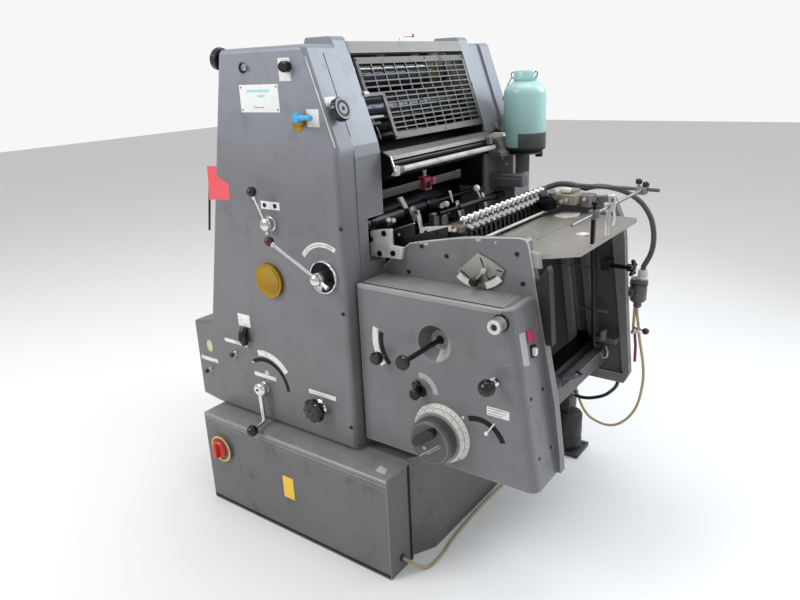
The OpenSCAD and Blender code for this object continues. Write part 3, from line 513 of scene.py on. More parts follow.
def repeat(name, kind, part, finish, slot=None, points=(), **values):
    data = bpy.data.meshes.new(name + "Places")
    data.from_pydata([Vector(p) / 1000 for p in points], [], [])
    holder = bpy.data.objects.new(name + "Places", data)
    bpy.context.scene.collection.objects.link(holder)
    changed = holder.modifiers.new("repeat", "NODES")
    changed.node_group = trees[kind]
    values = {"Part": part, "Finish": finishes[finish], **values}
    for item in trees[kind].interface.items_tree:
        if item.in_out == "INPUT" and item.name in values:
            value = values[item.name]
            changed[item.identifier] = tuple(Vector(value) / 1000) if isinstance(value, tuple) else value
    ready = holder.evaluated_get(bpy.context.evaluated_depsgraph_get())
    mesh = bpy.data.meshes.new_from_object(ready)
    made = bpy.data.objects.new(name, mesh)
    bpy.context.scene.collection.objects.link(made)
    bpy.data.objects.remove(holder)
    bpy.data.objects.remove(part)
    mesh.set_sharp_from_angle(angle=math.radians(40))
    return settle(made, "press")


# ---- cords ----

cords = {
    "corrugated": {
        "radius": 10.0,
        "ribs": 1.2,
        "route": [(590, 330, 1060), (625, 350, 1066), (670, 370, 1060), (720, 385, 1042), (763, 394, 1010),
                  (793, 397, 966), (806, 399, 918), (808, 399, 872), (801, 398, 836), (789, 397, 808),
                  (783, 396, 795), (782, 396, 783)],
    },
    "cream": {
        "radius": 5.0,
        "route": [(545, 440, 240), (554, 440, 230), (563, 438, 211), (574, 436, 190), (589, 434, 169),
                  (607, 432, 153),
                  (628, 431, 144), (650, 429, 139), (672, 427, 138), (700, 424, 144), (724, 422, 157),
                  (745, 420, 176),
                  (765, 418, 202), (783, 417, 235), (796, 415, 275), (804, 413, 325), (807, 411, 380),
                  (803, 408, 432),
                  (795, 404, 480), (786, 400, 530), (779, 398, 580), (773, 396, 620), (771, 396, 645)],
    },
    "pump": {
        "radius": 6.5,
        "route": [(545, 405, 240), (560, 405, 242), (586, 402, 242), (612, 400, 247), (636, 398, 256),
                  (659, 394, 268),
                  (682, 386, 285), (702, 373, 307), (721, 355, 332), (735, 338, 355), (742, 327, 372),
                  (744, 323, 385)],
    },
    "foot": {
        "radius": 5.0,
        "route": [(389, -525, 46), (402, -525, 45), (420, -518, 34), (438, -502, 18), (452, -478, 6),
                  (458, -440, 6),
                  (456, -390, 6), (448, -330, 6), (442, -260, 6), (438, -190, 6), (436, -120, 6),
                  (436, -50, 6),
                  (438, 20, 6), (442, 90, 6), (446, 160, 6), (450, 230, 6), (454, 290, 8), (460, 340, 18),
                  (468, 376, 34), (478, 398, 45), (486, 408, 48)],
    },
}


def spread(route, step):
    n = len(route) - 1
    fine = []
    for i in range(n):
        a, b, c, d = (Vector(route[max(0, min(n, j))]) for j in (i - 1, i, i + 1, i + 2))
        count = max(2, int((c - b).length / step))
        for k in range(count):
            t = k / count
            fine.append(0.5 * (2 * b + (c - a) * t + (2 * a - 5 * b + 4 * c - d) * t * t + (3 * b - a - 3 * c + d) * t**3))
    return fine + [Vector(route[-1])]


def layCord(name, values, node, finish):
    route = spread(values["route"], 2.2 if values.get("ribs") else 5)
    radius = values["radius"]
    widths = radius
    if values.get("ribs"):  # rings every 6.6 mm
        widths = [radius - values["ribs"] * (1 + math.cos(2 * math.pi * i / 3)) for i in range(len(route))]
    piece = Piece(name, None)
    piece.pipe(route, widths, finish, 20)
    cord = piece.close()
    settle(cord, "press", (node,))
    length = sum((b - a).length for a, b in zip(route, route[1:])) / 1000
    radius * 2 / 1000
    [tuple(p / 1000) for p in route]


layCord("corrugatedHose", cords["corrugated"], "corrugated_hose", "hoseRubber")
layCord("creamHose", cords["cream"], "cream_hose", "creamTube")
layCord("pumpHose", cords["pump"], "pump_hose", "rubber")
layCord("footCable", cords["foot"], "foot_cable", "cableSheath")
print("cords laid:", len(cords))

# ---- finishes on the frame's own nodes ----

coats = {
    "baseGrey": ["pedestal", "switch_box"],
    "bodyGrey": ["operator_side_frame", "drive_side_frame", "rear_guard"],
    "panelGrey": ["feeder_cabinet", "feeder_side_frame_operator", "delivery_frame", "delivery_hood",
                  "drive_post"],
    "castGrey": ["feeder_side_frame_drive"],
    "beamGrey": ["cross_beam"],
    "barLight": ["top_bar"],
    "inkedSteel": ["ink_rollers", "ink_duct", "cylinders"],
    "railBlack": ["lift_rods"],
    "brightSteel": ["feed_board"],
    "dullSteel": ["cross_rods"],
    "darkSteel": ["rear_rods"],
    "guardMetal": ["grid_guard"],
    "tableMetal": ["pile_table", "delivery_board"],
    "pumpBlack": ["pump"],
    "chrome": ["lever_plates"],
    "brass": ["brass_disc"],
    "redEnamel": ["bar_clamp"],
    "blackKnob": ["small_knobs", "fan_pointer"],
    "blueTap": ["tap_handle"],
    "redPlastic": ["main_switch"],
}

for finish, names in coats.items():
    dress(finish, names)


coverFace, weldWithin = 0.505, 0.002


# the rounded covers once more, their flat faces whole and shaded evenly
def smoothCover(name, finish):
    mesh = bmesh.new()
    mesh.from_mesh(nodes[name].data)
    mesh.transform(nodes[name].matrix_world)
    bmesh.ops.remove_doubles(mesh, verts=mesh.verts, dist=1e-6)
    flat = [v for v in mesh.verts if abs(abs(v.co.y) - coverFace) < 1e-4]
    bmesh.ops.remove_doubles(mesh, verts=flat, dist=weldWithin)
    bmesh.ops.dissolve_limit(mesh, angle_limit=math.radians(0.8), verts=mesh.verts, edges=mesh.edges)
    data = bpy.data.meshes.new(name + "Skin")
    mesh.to_mesh(data)
    mesh.free()
    data.polygons.foreach_set("use_smooth", [True] * len(data.polygons))
    data.set_sharp_from_angle(angle=math.radians(32))
    raw = bpy.data.objects.new(name + "Raw", data)
    bpy.context.scene.collection.objects.link(raw)
    raw.modifiers.new("weights", "WEIGHTED_NORMAL").keep_sharp = True
    whole = bpy.data.meshes.new_from_object(raw.evaluated_get(bpy.context.evaluated_depsgraph_get()))
    bpy.data.objects.remove(raw)
    whole.materials.clear()
    whole.materials.append(finishes[finish])
    made = bpy.data.objects.new(name + "Skin", whole)
    bpy.context.scene.collection.objects.link(made)
    settle(made, "press", (name,))


for name in ("operator_side_cover", "drive_side_cover"):
    smoothCover(name, "bodyGrey")
print("nodes dressed")

# ---- levers and knobs ----

front, boxFront, cabinetFront, panelFront = -505.0, -584.0, -465.0, -332.0

# centres (x, z) that several parts share
hubs = {
    "throw": (-62, 1047),
    "speed": (140, 908),
    "print": (-172, 474),
    "star": (80, 471),
    "dial": (508, 486),
    "printScale": (-158, 479),
    "arc": (409, 731),
    "recess": (487, 756),
    "latch": (693, 856),
    "fan": (553, 991),
    "fanPin": (577, 945),
}


def hubAt(name, y):
    x, z = hubs[name]
    return (x, y, z)


levers = {
    "throw": {"hub": hubs["throw"], "seat": -511, "face": -539, "hubRadius": 20, "ball": (-76, -555, 1149),
              "ballRadius": 15, "rod": 4},
    "speed": {"hub": hubs["speed"], "seat": -515, "face": -558, "hubRadius": 20, "ball": (-13, -565, 1010),
              "ballRadius": 15, "rod": 5},
}


def makeLever(name, body, node, values, ballFinish):
    piece = Piece(name, body, "chrome_parts", (node,))
    x, z = values["hub"]
    r, deep = values["hubRadius"], values["seat"] - values["face"]
    piece.turned([(r, 0.3), (r, deep * 0.55), (r * 0.96, deep * 0.62), (r * 0.92, deep * 0.66),
                  (r * 0.92, deep * 0.8),
                  (r * 0.7, deep * 0.93), (r * 0.35, deep * 0.99), (0, deep)], (x, values["seat"], z),
                 outward, "chrome")
    start = Vector((x, values["seat"] - deep * 0.5, z))
    ball = Vector(values["ball"])
    way = (ball - start).normalized()
    piece.pipe([start, ball], values["rod"], "chrome", 16)
    piece.turned([(values["rod"] * 1.5, 0), (values["rod"] * 1.7, 5), (values["rod"] * 1.5, 10)],
                 ball - way * (values["ballRadius"] + 7), way, "chrome", 20)
    piece.ball(ball, values["ballRadius"], ballFinish, way)
    return piece


makeLever("throwLever", "throw_lever", "throw_lever", levers["throw"], "blackKnob").close()
speed = makeLever("speedLever", "speed_lever", "speed_lever", levers["speed"], "redKnob")
speed.pipe([hubAt("speed", -535), (177, -537, 888)], 7, "chrome", 16)
speed.turned([(8, 0), (8, 4), (6, 6)], (174, -537, 889.6), Vector((37, -2, -20)).normalized(), "chrome", 20)
speed.close()

printLever = {"hub": hubs["print"], "knee": (-161, -535, 362), "ball": (-140, -608, 368), "ballRadius": 19,
              "rod": 5.5}


def makePrintLever(values):
    piece = Piece("printLever", "crank", "chrome_parts", ("crank",))
    x, z = values["hub"]
    piece.turned([(24, 0.3), (26, 3), (26, 14), (24, 19), (19, 23), (12, 24.5), (8, 24.5), (8, 20)],
                 (x, -515, z), outward, "chrome")
    piece.drum(7.9, 19, 21, (x, -515, z), outward, "blackHole", 24)
    knee, ball = Vector(values["knee"]), Vector(values["ball"])
    start = Vector((x, -530, z))
    bend = [start, start.lerp(knee, 0.86)]
    for t in (0.2, 0.4, 0.6, 0.8):
        a, b = start.lerp(knee, 0.86), knee.lerp(ball, 0.2)
        bend.append(a * (1 - t) ** 2 + knee * 2 * t * (1 - t) + b * t * t)
    bend += [knee.lerp(ball, 0.2), ball]
    gains = [1.5, 1.45] + [max(1.0, 1.35 - 0.12 * i) for i in range(len(bend) - 2)]
    widths = [values["rod"] * gain for gain in gains]
    piece.pipe(bend, widths, "chrome", 16)
    way = (ball - knee).normalized()
    piece.turned([(8, 0), (9, 5), (8, 9)], ball - way * 23, way, "chrome", 20)
    piece.ball(ball, values["ballRadius"], "blackKnob", way)
    piece.close()


makePrintLever(printLever)

wheels = {
    "slant": {"place": (185.05, -465, 1366), "lean": (0.9426, 0, 0.3340), "radius": 32, "disc": (14, 36),
              "face": "wheelFace", "body": "slant_knob"},
    "rear": {"place": (-219.4, -465, 1512), "lean": (-0.9743, 0, 0.2250), "radius": 33, "disc": (19, 43),
             "face": "blackKnob", "body": "rear_knob"},
}


def makeWheel(name, values):
    piece = Piece(name, values["body"], "black_knob", (values["body"],))
    r = values["radius"]
    low, high = values["disc"]
    lobes = lambda a, rise: 1 - 0.012 * (1 + math.cos(24 * a)) if low + 3 < rise < high - 1 else 1
    piece.turned([(13, 0.3), (13, low), (r - 4, low), (r, low + 3.5), (r, high - 3.5), (r - 3, high),
                  (r - 7, high),
                  (0, high)], values["place"], values["lean"], "blackKnob", 96, lobes)
    piece.turned([(r - 8, high - 0.4), (r - 9, high + 0.6), (r - 16, high + 0.6), (r - 17, high - 0.1),
                  (0, high)],
                 values["place"], values["lean"], values["face"], 48)
    piece.turned([(6, high), (5, high + 1.5)], values["place"], values["lean"], "inkedSteel", 24)
    piece.close()


for name, values in wheels.items():
    makeWheel(name + "Wheel", values)

starKnob = {"centre": hubs["star"], "radius": 40, "lobes": 8}


def makeStar(values):
    piece = Piece("starKnob", "star_knob", "black_knob", ("star_knob",))
    x, z = values["centre"]
    r, lobes = values["radius"], values["lobes"]
    piece.turned([(27, 0.3), (27, 6), (20, 12), (14, 22)], (x, front, z), outward, "chrome", 32)
    wave = lambda a, rise: 1 - 0.06 * (1 - math.cos(lobes * a))
    piece.turned([(r - 7, 20), (r - 1, 24), (r, 28), (r, 37), (r - 2, 42), (r - 9, 46), (14, 46), (10, 43)],
                 (x, front, z), outward, "blackKnob", 126, wave)
    piece.close()


makeStar(starKnob)

slant, pinX, pinZ = math.atan2(96, 271), 159.24, 1405.0
slopeX = lambda z: 122 + 96 * (1544 - z) / 271
inner = 310.0


# a ring sector on a front: from start to stop in degrees, between two radii
def sector(piece, centre, low, high, start, stop, near, far, finish, count=20):
    piece.slab(arc(centre, high, start, stop, count) + arc(centre, low, stop, start, count), near, far,
               finish)


# a thin patch on a sloping face, its corners given on that face
def patch(piece, corners, normal, thick, finish):
    n = Vector(normal).normalized()
    piece.plate([Vector(c) - n * 0.3 for c in corners], [Vector(c) + n * thick for c in corners])
    piece.paint(finish)


def screwPart(name, radius, tall, axis=outward):
    part = Piece(name, None)
    part.turned([(radius, 0), (radius, tall * 0.6), (radius * 0.8, tall), (radius * 0.4, tall),
                 (radius * 0.35, tall * 0.5),
                 (0, tall * 0.5)], (0, 0, 0), axis, "darkSteel", 18)
    return part.close()


dial = {"centre": hubs["dial"], "radius": 68, "flange": 93, "deep": 30, "ticks": 23, "grip": (-5, 27),
        "turn": 38}


# a band on the flange's cone between two (radius, rise) rings
def coneBand(piece, centre, seat, low, high, start, stop, finish, count=48):
    lift = Vector((high[1] - low[1], low[0] - high[0])).normalized() * 0.5
    rows = []
    for radius, rise in (low, high, (high[0] + lift.x, high[1] + lift.y),
                         (low[0] + lift.x, low[1] + lift.y)):
        rows.append([piece.mesh.verts.new((a, seat - rise, b)) for a, b in arc(centre, radius, start, stop,
                count)])
    faces = []
    for i in range(4):
        here, there = rows[i], rows[(i + 1) % 4]
        faces += [piece.mesh.faces.new((here[k], here[k + 1], there[k + 1],
                                        there[k])) for k in range(count)]
    for k in (0, count):
        faces.append(piece.mesh.faces.new([row[k] for row in rows]))
    bmesh.ops.recalc_face_normals(piece.mesh, faces=faces)
    piece.paint(finish)


def makeDial(values):
    x, z = values["centre"]
    r = values["radius"]
    piece = Piece("speedDial", "speed_dial", "black_knob", ("speed_dial",))
    seat = cabinetFront - values["deep"]
    knurl = lambda a, rise: 1 - 0.006 * (1 + math.cos(60 * a)) if 4 < rise < 33 else 1
    piece.turned([(r - 1, 0.3), (r, 3), (r, 33), (r - 3, 37), (r - 6, 38), (r - 7, 41)],
                 (x, seat, z), outward, "toolGrey", 180, knurl)
    turn = Matrix.Rotation(math.radians(values["turn"]), 2)
    shape = arc((30, 0), 14, -90, 90, 10) + arc((-30, 0), 14, 90, 270, 10)
    shape = [tuple(turn @ Vector(point) + Vector((x, z)) + Vector(values["grip"])) for point in shape]
    piece.slab(shape, seat - 66, seat - 40.5, "blackKnob", "Y", 6)
    piece.pipe([(x + 34, seat - 41, z + 6), (x - 30, seat - 41, z - 46)], 0.9, "castLight", 6)
    piece.pipe([(x + 40, seat - 41, z + 2), (x - 6, seat - 41, z - 34)], 0.6, "castLight", 6)
    piece.turned([(5, 40.8), (4, 42.5)], (x - 14, seat, z - 16), outward, "castLight", 16)
    piece.close()


makeDial(dial)


def makeHandPlates():
    piece = Piece("handPlates", "press", "chrome_parts", ("lever_plates",))
    piece.turned([(24, 0), (24, 4), (22, 6)], hubAt("throw", front), outward, "chrome", 48)
    piece.turned([(51, 0), (51, 7), (49, 10), (46, 10), (45, 6)], hubAt("speed", front), outward, "chrome",
                 64)
    piece.turned([(44.5, 5), (44.5, 7), (24, 10)], hubAt("speed", front), outward, "inkedSteel", 64)
    sector(piece, hubs["speed"], 26, 43, 180, 262, front - 10.5, front - 6, "brightSteel")
    piece.turned([(24, 0), (24, 8), (22, 10)], hubAt("print", front), outward, "chrome", 48)
    piece.turned([(11, 0), (11, 10), (10, 12), (10, 26)], (120, front, 1356), outward, "brass", 28)
    piece.turned([(19, 0), (19, 2), (14, 5)], (86, front, 1337), outward, "brass", 32)
    piece.turned([(9, 0), (9, 14), (6, 18)], (106, front, 1341), outward, "brass", 24)
    piece.pipe([(106, front - 12, 1341), (120, front - 16, 1358)], 7, "brass", 14)
    centre, r, deep = dial["centre"], dial["flange"], dial["deep"]
    piece.turned([(r, 0), (r, 2), (76, deep)], (centre[0], cabinetFront, centre[1]), outward, "lipGrey", 96)
    coneBand(piece, centre, cabinetFront, (r - 1.2, 4), (r - 8, 15), -40, 215, "scaleWhite")
    coneBand(piece, centre, cabinetFront, (r - 9.5, 17.4), (77.2, 28), -62, 232, "paleCast")
    piece.slab([hubs["fan"], (519, 958), (487, 932), (492, 917), (504, 902), (532, 889), (564, 885),
                (590, 898), (611, 913), (626, 930),
                (635, 953), (600, 972)], panelFront - 7, panelFront, "fanSteel", "Y", 3)
    sector(piece, hubs["fan"], 84, 102, 229, 264, panelFront - 8, panelFront - 6, "scaleWhite", 12)
    sector(piece, hubs["fan"], 84, 102, 286, 318, panelFront - 8, panelFront - 6, "scaleWhite", 12)
    piece.turned([(20, 6), (19, 8)], hubAt("fanPin", panelFront), outward, "fanSteel", 32)
    for a, b in (((562, 978), (588, 920)), ((588, 920), (608, 934)), ((500, 934), (528, 916)),
                 ((612, 950), (628, 948))):
        piece.pipe([(a[0], panelFront - 7.6, a[1]), (b[0], panelFront - 7.6, b[1])], 1.6, "inkedSteel", 6)
    piece.close()
    pointer = Piece("fanPointer", "fan_pointer", "black_knob", ("fan_pointer",))
    pointer.turned([(8, 8.3), (8, 20), (5, 23)], hubAt("fanPin", panelFront), outward, "castLight", 24)
    pointer.pipe([hubAt("fanPin", panelFront - 16), (549, panelFront - 20, 911)], 4, "brightSteel", 10)
    pointer.turned([(12, 0), (14, 3), (14, 12), (11, 16), (0, 17)], (549, panelFront - 14, 911), outward,
                   "blackKnob", 32,
                   lambda a, rise: 1 - 0.03 * (1 + math.cos(12 * a)) if 2 < rise < 13 else 1)
    pointer.close()
    tap = Piece("tapLever", "tap_handle", "blue_tap", ("tap_handle",))
    tap.turned([(13, 26.3), (14, 28), (14, 42), (11, 45)], (120, front, 1358), outward, "blueTap", 32)
    tap.pipe([(120, front - 37, 1358), (146, front - 38, 1359), (172, front - 40, 1359),
              (176, front - 40, 1358)], [9, 7, 8, 5], "blueTap", 16)
    tap.close()


makeHandPlates()

tickPart = Piece("tickPart", None)
tickPart.brick((-1.1, -1.1, -1.1), (1.1, 1.1, 1.1), "blackKnob", 0)
ticks = []
for count, radius, rise in ((dial["ticks"], 88.4, 10.2), (12, 81, 23.2)):
    for a in (math.radians(-35 + 245 * k / (count - 1)) for k in range(count)):
        ticks.append((dial["centre"][0] + radius * math.cos(a), cabinetFront - rise,
                      dial["centre"][1] + radius * math.sin(a)))
repeat("dialScale", "Points", tickPart.close(), "rubber", points=ticks)
print("levers and knobs made")

# ---- plates and labels on the covers ----

plates = {
    "namePlate": {"low": (-135, 1369), "high": (22, 1445), "finish": "plateWhite", "screws": True},
    "twoDotPlate": {"low": (-96, 1089), "high": (-18, 1113), "finish": "plateWhite"},
    "tapLabel": {"low": (122, 1331), "high": (166, 1378), "finish": "labelWhite"},
    "togglePlate": {"low": (-266, 681), "high": (-209, 724), "finish": "plateWhite"},
    "buttonLabelHigh": {"low": (-350, 606), "high": (-237, 619), "finish": "labelWhite"},
    "buttonLabelLow": {"low": (-493, 509), "high": (-403, 523), "finish": "labelWhite"},
    "smearedLabel": {"low": (-216, 510), "high": (-113, 524), "finish": "labelWhite"},
    "starLabel": {"low": (33, 507), "high": (147, 522), "finish": "labelWhite"},
}


def makePlates(values):
    for name, plate in values.items():
        piece = Piece(name)
        (x0, z0), (x1, z1) = plate["low"], plate["high"]
        piece.brick((x0, front - 1.2, z0), (x1, front + 0.4, z1), plate["finish"], 1.0)
        if plate.get("screws"):
            for x in (x0 + 7, x1 - 7):
                for z in (z0 + 7, z1 - 7):
                    piece.turned([(3, 0), (2.6, 1.2), (0, 1.6)], (x, front - 1.1, z), outward, "dullSteel",
                                 14)
        piece.close()


makePlates(plates)


def makeFrontDetails():
    piece = Piece("frontDetails")
    sector(piece, hubs["printScale"], 91, 105, 4, 124, front - 0.6, front + 0.5, "blackHole", 28)
    piece.brick((-222, front - 3, 556), (-206, front, 561), "brightSteel", 1)
    sector(piece, hubs["printScale"], 111, 131, 37, 104, front - 0.9, front + 0.5, "labelWhite")
    sector(piece, hubs["speed"], 88, 102, 60, 146, front - 0.9, front + 0.5, "labelWhite")
    sector(piece, hubs["speed"], 93, 96, 66, 138, front - 1.1, front - 0.7, "plateGrey")
    piece.brick((31, front - 1.2, 1452), (75, front + 0.4, 1512), "labelWhite", 1)
    piece.brick((49, front - 1.5, 1474), (75, front - 1.1, 1492), "toolGrey", 0)
    for x in (-80, -36):
        piece.drum(7, 1, 3, (x, front, 1101), outward, "blackKnob", 20)
    piece.slab([(-437 + 15 * math.cos(a),
                 570 + 22 * math.sin(a)) for a in (math.pi * k / 14 for k in range(28))],
               front - 1.2, front + 0.4, "paleYellow")
    piece.slab([(-290, 1180), (-261, 1166), (-231, 1154), (-235, 1104), (-306, 1101)], front - 0.6,
               front + 0.4, "redTape")
    piece.turned([(10, 0), (9, 1.2), (0, 1.4)], (-153, front - 1, 531), outward, "paleYellow", 16)
    piece.turned([(46, 0), (46, 1.5), (43, 1.5), (42, 0.8)], (-88, front - 12, 864), outward, "brass", 64)
    piece.turned([(15, 0), (15, 2), (12, 3), (11, 1)], (-112, front, 1491), outward, "darkSteel", 32)
    piece.turned([(9, 0), (9, 10), (7, 12), (4, 12), (3, 8)], (-97, front, 1492), outward, "brightSteel", 8)
    piece.turned([(4, 0), (5, 4), (3, 8), (0, 9)], (-79, front, 1015), outward, "whitePiece", 16)
    n = (math.cos(slant), 0, math.sin(slant))
    at = lambda y, z: (slopeX(z), y, z)
    patch(piece, [at(-487, 1407), at(-443, 1407), at(-443, 1383), at(-487, 1383)], n, 1, "labelWhite")
    patch(piece, [at(-432.5, 1520), at(-430.3, 1520), at(-430.3, 1300), at(-432.5, 1300)], n, 0.5,
          "blackHole")
    bars = ((0.62, 0, 1424, 7, "printTeal"), (0.36, 22, 1410, 7, "printTeal"),
            (0.28, 0, 1381, 3, "plateGrey"))
    for wide, shift, z, tall, finish in bars:
        piece.brick((-56 - 78 * wide + shift, front - 1.5, z), (-56 + 78 * wide - 6, front - 1.0, z + tall),
                    finish, 0)
    piece.close()
    edge = [(slopeX(z) - 5, -500.6, z) for z in (1512, 1480, 1450, 1410, 1370, 1330, 1300, 1277)]
    wear = Piece("edgeWear")
    wear.pipe(edge, [1.0, 1.9, 1.4, 2.1, 1.2, 2.2, 2.0, 1.2], "paleCast", 8)
    wear.close()
    tape = Piece("tapeEnd")
    tape.slab([(-343, 1202), (-302, 1204), (-290, 1180), (-306, 1101), (-326, 1096), (-353, 1093),
               (-346, 1154)], -491.6, -490.4, "redTape")
    tape.slab([(-340, 1190), (-334, 1190), (-374, 990), (-380, 990)], -490.3, -485, "blackKnob", "Y", 1)
    tape.close()
    knobs = Piece("coverKnobs", "press", "black_knob", ("small_knobs",))
    knobs.turned([(14, 0), (15, 4), (15, 20), (11, 26)], (66, front, 1489), outward, "blackKnob", 32)
    knobs.drum(6, 0, 10, (-234, front, 647), outward, "chrome", 20)
    knobs.pipe([(-234, front - 6, 680), (-234, front - 14, 664), (-233, front - 18, 642),
                (-232, front - 12, 622)], [11, 15, 17, 11], "blackKnob", 24)
    for x, z, r in ((-304, 569, 9), (-454, 474, 9)):
        knobs.turned([(r, 0), (r, 2), (r - 3, 4), (r - 3, 16)], (x, front, z), outward, "brightSteel", 24)
        knobs.turned([(r - 1, 14), (r - 1, 20), (r - 3, 22)], (x, front, z), outward, "blackKnob", 24)
    c = cabinetFront
    knobs.drum(18, 0, 1, (441, c, 601), outward, "blackHole", 32)
    knobs.turned([(8, 0), (9, 16), (15, 22), (16, 34), (12, 38)], (438, c, 602), outward, "darkSteel", 28)
    knobs.turned([(14, 0), (14, 8), (10, 11)], (427, c, 618), outward, "blackKnob", 28)
    knobs.turned([(23, 0), (23, 5), (21, 7)], hubAt("latch", c), outward, "inkedSteel", 48)
    knobs.turned([(20, 0), (20, 36), (17, 38)], hubAt("latch", c), outward, "castGrey", 48)
    knobs.turned([(18.5, 37.5), (18.5, 40), (16, 41), (13, 41), (12, 38.5)], hubAt("latch", c), outward,
                 "paleCast", 48,
                 lambda a, rise: 1 - 0.02 * (1 + math.cos(20 * a)) if rise > 39 else 1)
    knobs.turned([(9, 38.3), (8, 39.4)], hubAt("latch", c), outward, "darkSteel", 24)
    knobs.turned([(13, 0), (13, 6), (7, 8), (7, 34)], (678, c, 691), outward, "chrome", 28)
    knobs.ball((678, c - 48, 691), 23, "blackKnob")
    knobs.close()


makeFrontDetails()


def makeCabinetDetails():
    c = cabinetFront
    piece = Piece("cabinetDetails")
    sector(piece, hubs["arc"], 96.5, 111.5, 167, 223, c - 0.7, c + 0.5, "blackHole", 24)
    sector(piece, hubs["arc"], 116, 136, 164, 218, c - 0.9, c + 0.5, "labelWhite")
    sector(piece, (627, 486), 70, 86, 20, 114, c - 0.7, c + 0.5, "blackHole", 28)
    sector(piece, (441, 601), 40, 58, 2, 98, c - 0.9, c + 0.5, "plateGrey")
    piece.brick((652, c - 1.0, 586), (719, c + 0.4, 612), "labelWhite", 0.8)
    for k in range(3):
        piece.brick((656, c - 1.3, 606 - 8 * k), (714 - 7 * k, c - 0.9, 608.5 - 8 * k), "plateGrey", 0)
    piece.turned([(3.5, 0), (3.5, 3), (0, 4)], (579, c, 557), outward, "whitePiece", 16)
    piece.pipe([(676, c + 1, 566), (663, c - 16, 543)], 2.6, "brightSteel", 10)
    piece.ball((661, c - 19, 540), 6, "whitePiece")
    piece.drum(13, -33.8, -33.2, hubAt("recess", c), outward, "blackHole", 32)
    # painted shade and painted highlight in the recess: the upper-left of the cone is darkened, the
    # lower-right lightened
    coneBand(piece, hubs["recess"], c, (52.6, -1), (28.4, -32.3), 75, 215, "innerGrey")
    coneBand(piece, hubs["recess"], c, (52.6, -1), (28.4, -32.3), -85, 35, "castLight")
    piece.brick((229, c - 2.5, 877), (694, c + 13, 891), "lipGrey", 5)
    piece.brick((229, c + 17, 887), (690, c + 20, 889.6), "blackHole", 0.5)
    piece.brick((231, c + 22, 887), (686, -340, 889.4), "topGrey", 1)
    piece.pipe([(706, -440, 884), (707, -400, 884), (708, -338, 884)], 7, "lipGrey", 12)
    piece.pipe([(686, c + 5, 884), (698, c + 12, 884), (706, -440, 884)], 7, "lipGrey", 12)
    lean = lambda z: 717 + 84 * (888 - z) / 503
    tilt = math.atan2(84, 503)
    n = (math.cos(tilt), 0, math.sin(tilt))
    at = lambda y, z: (lean(z), y, z)
    patch(piece, [at(-437, 822), at(-404, 818), at(-404, 728), at(-437, 736)], n, 1.0, "labelGrey")
    patch(piece, [at(-398, 818), at(-366, 810), at(-366, 781), at(-398, 787)], n, 4.0, "redButton")
    patch(piece, [at(-390, 777), at(-358, 770), at(-358, 734), at(-390, 742)], n, 1.5, "blackHole")
    piece.brick((lean(755) - 2, -382, 744), (lean(755) + 12, -367, 765), "whitePiece", 4)
    for y, z in ((-420, 640), (-350, 640), (-420, 470), (-350, 470)):
        piece.turned([(5, -1), (5, 1.2), (0, 1.6)], at(y, z), n, "darkSteel", 14)
    piece.close()
    lever = Piece("arcLever", "arc_lever", "black_knob", ("arc_lever",))
    a = math.radians(206)
    x, z = 409 + 104 * math.cos(a), 731 + 104 * math.sin(a)
    lever.drum(4.5, -13, 26, (x, c, z), outward, "chrome", 16)
    lever.turned([(17, 22), (19, 26), (19, 40), (15, 45), (0, 46)], (x - 6, c, z), outward, "blackKnob", 32,
                 lambda t, rise: 1 - 0.02 * (1 + math.cos(16 * t)) if 24 < rise < 42 else 1)
    lever.close()
    rod = Piece("pullRod", "pull_rod", "black_knob", ("pull_rod",))
    rod.drum(7, -33.6, 134, hubAt("recess", c), outward, "darkSteel", 20)
    rod.turned([(9, 132), (17, 137), (20, 142), (20, 150), (16, 156), (0, 158)], hubAt("recess", c),
               outward, "blackKnob")
    rod.close()


makeCabinetDetails()


def makeSwitch():
    piece = Piece("switchRing", "press", "red_switch")
    piece.turned([(46, 9.6), (48, 11), (48, 12.6), (42, 12.6), (42, 9.8)], (-335, boxFront, 232), outward,
                 "amberRing", 64)
    piece.brick((-45, boxFront - 1.6, 140), (3, boxFront + 0.3, 221), "yellowPlate", 1.2)
    piece.close()
    knob = Piece("mainSwitch", "main_switch", "red_switch", ("main_switch",))
    knob.turned([(32, 10.3), (32, 18), (28, 23)], (-341, boxFront, 230), outward, "redPlastic", 48)
    knob.brick((-350, boxFront - 38, 203), (-332, boxFront - 22, 257), "redPlastic", 6)
    knob.close()


makeSwitch()


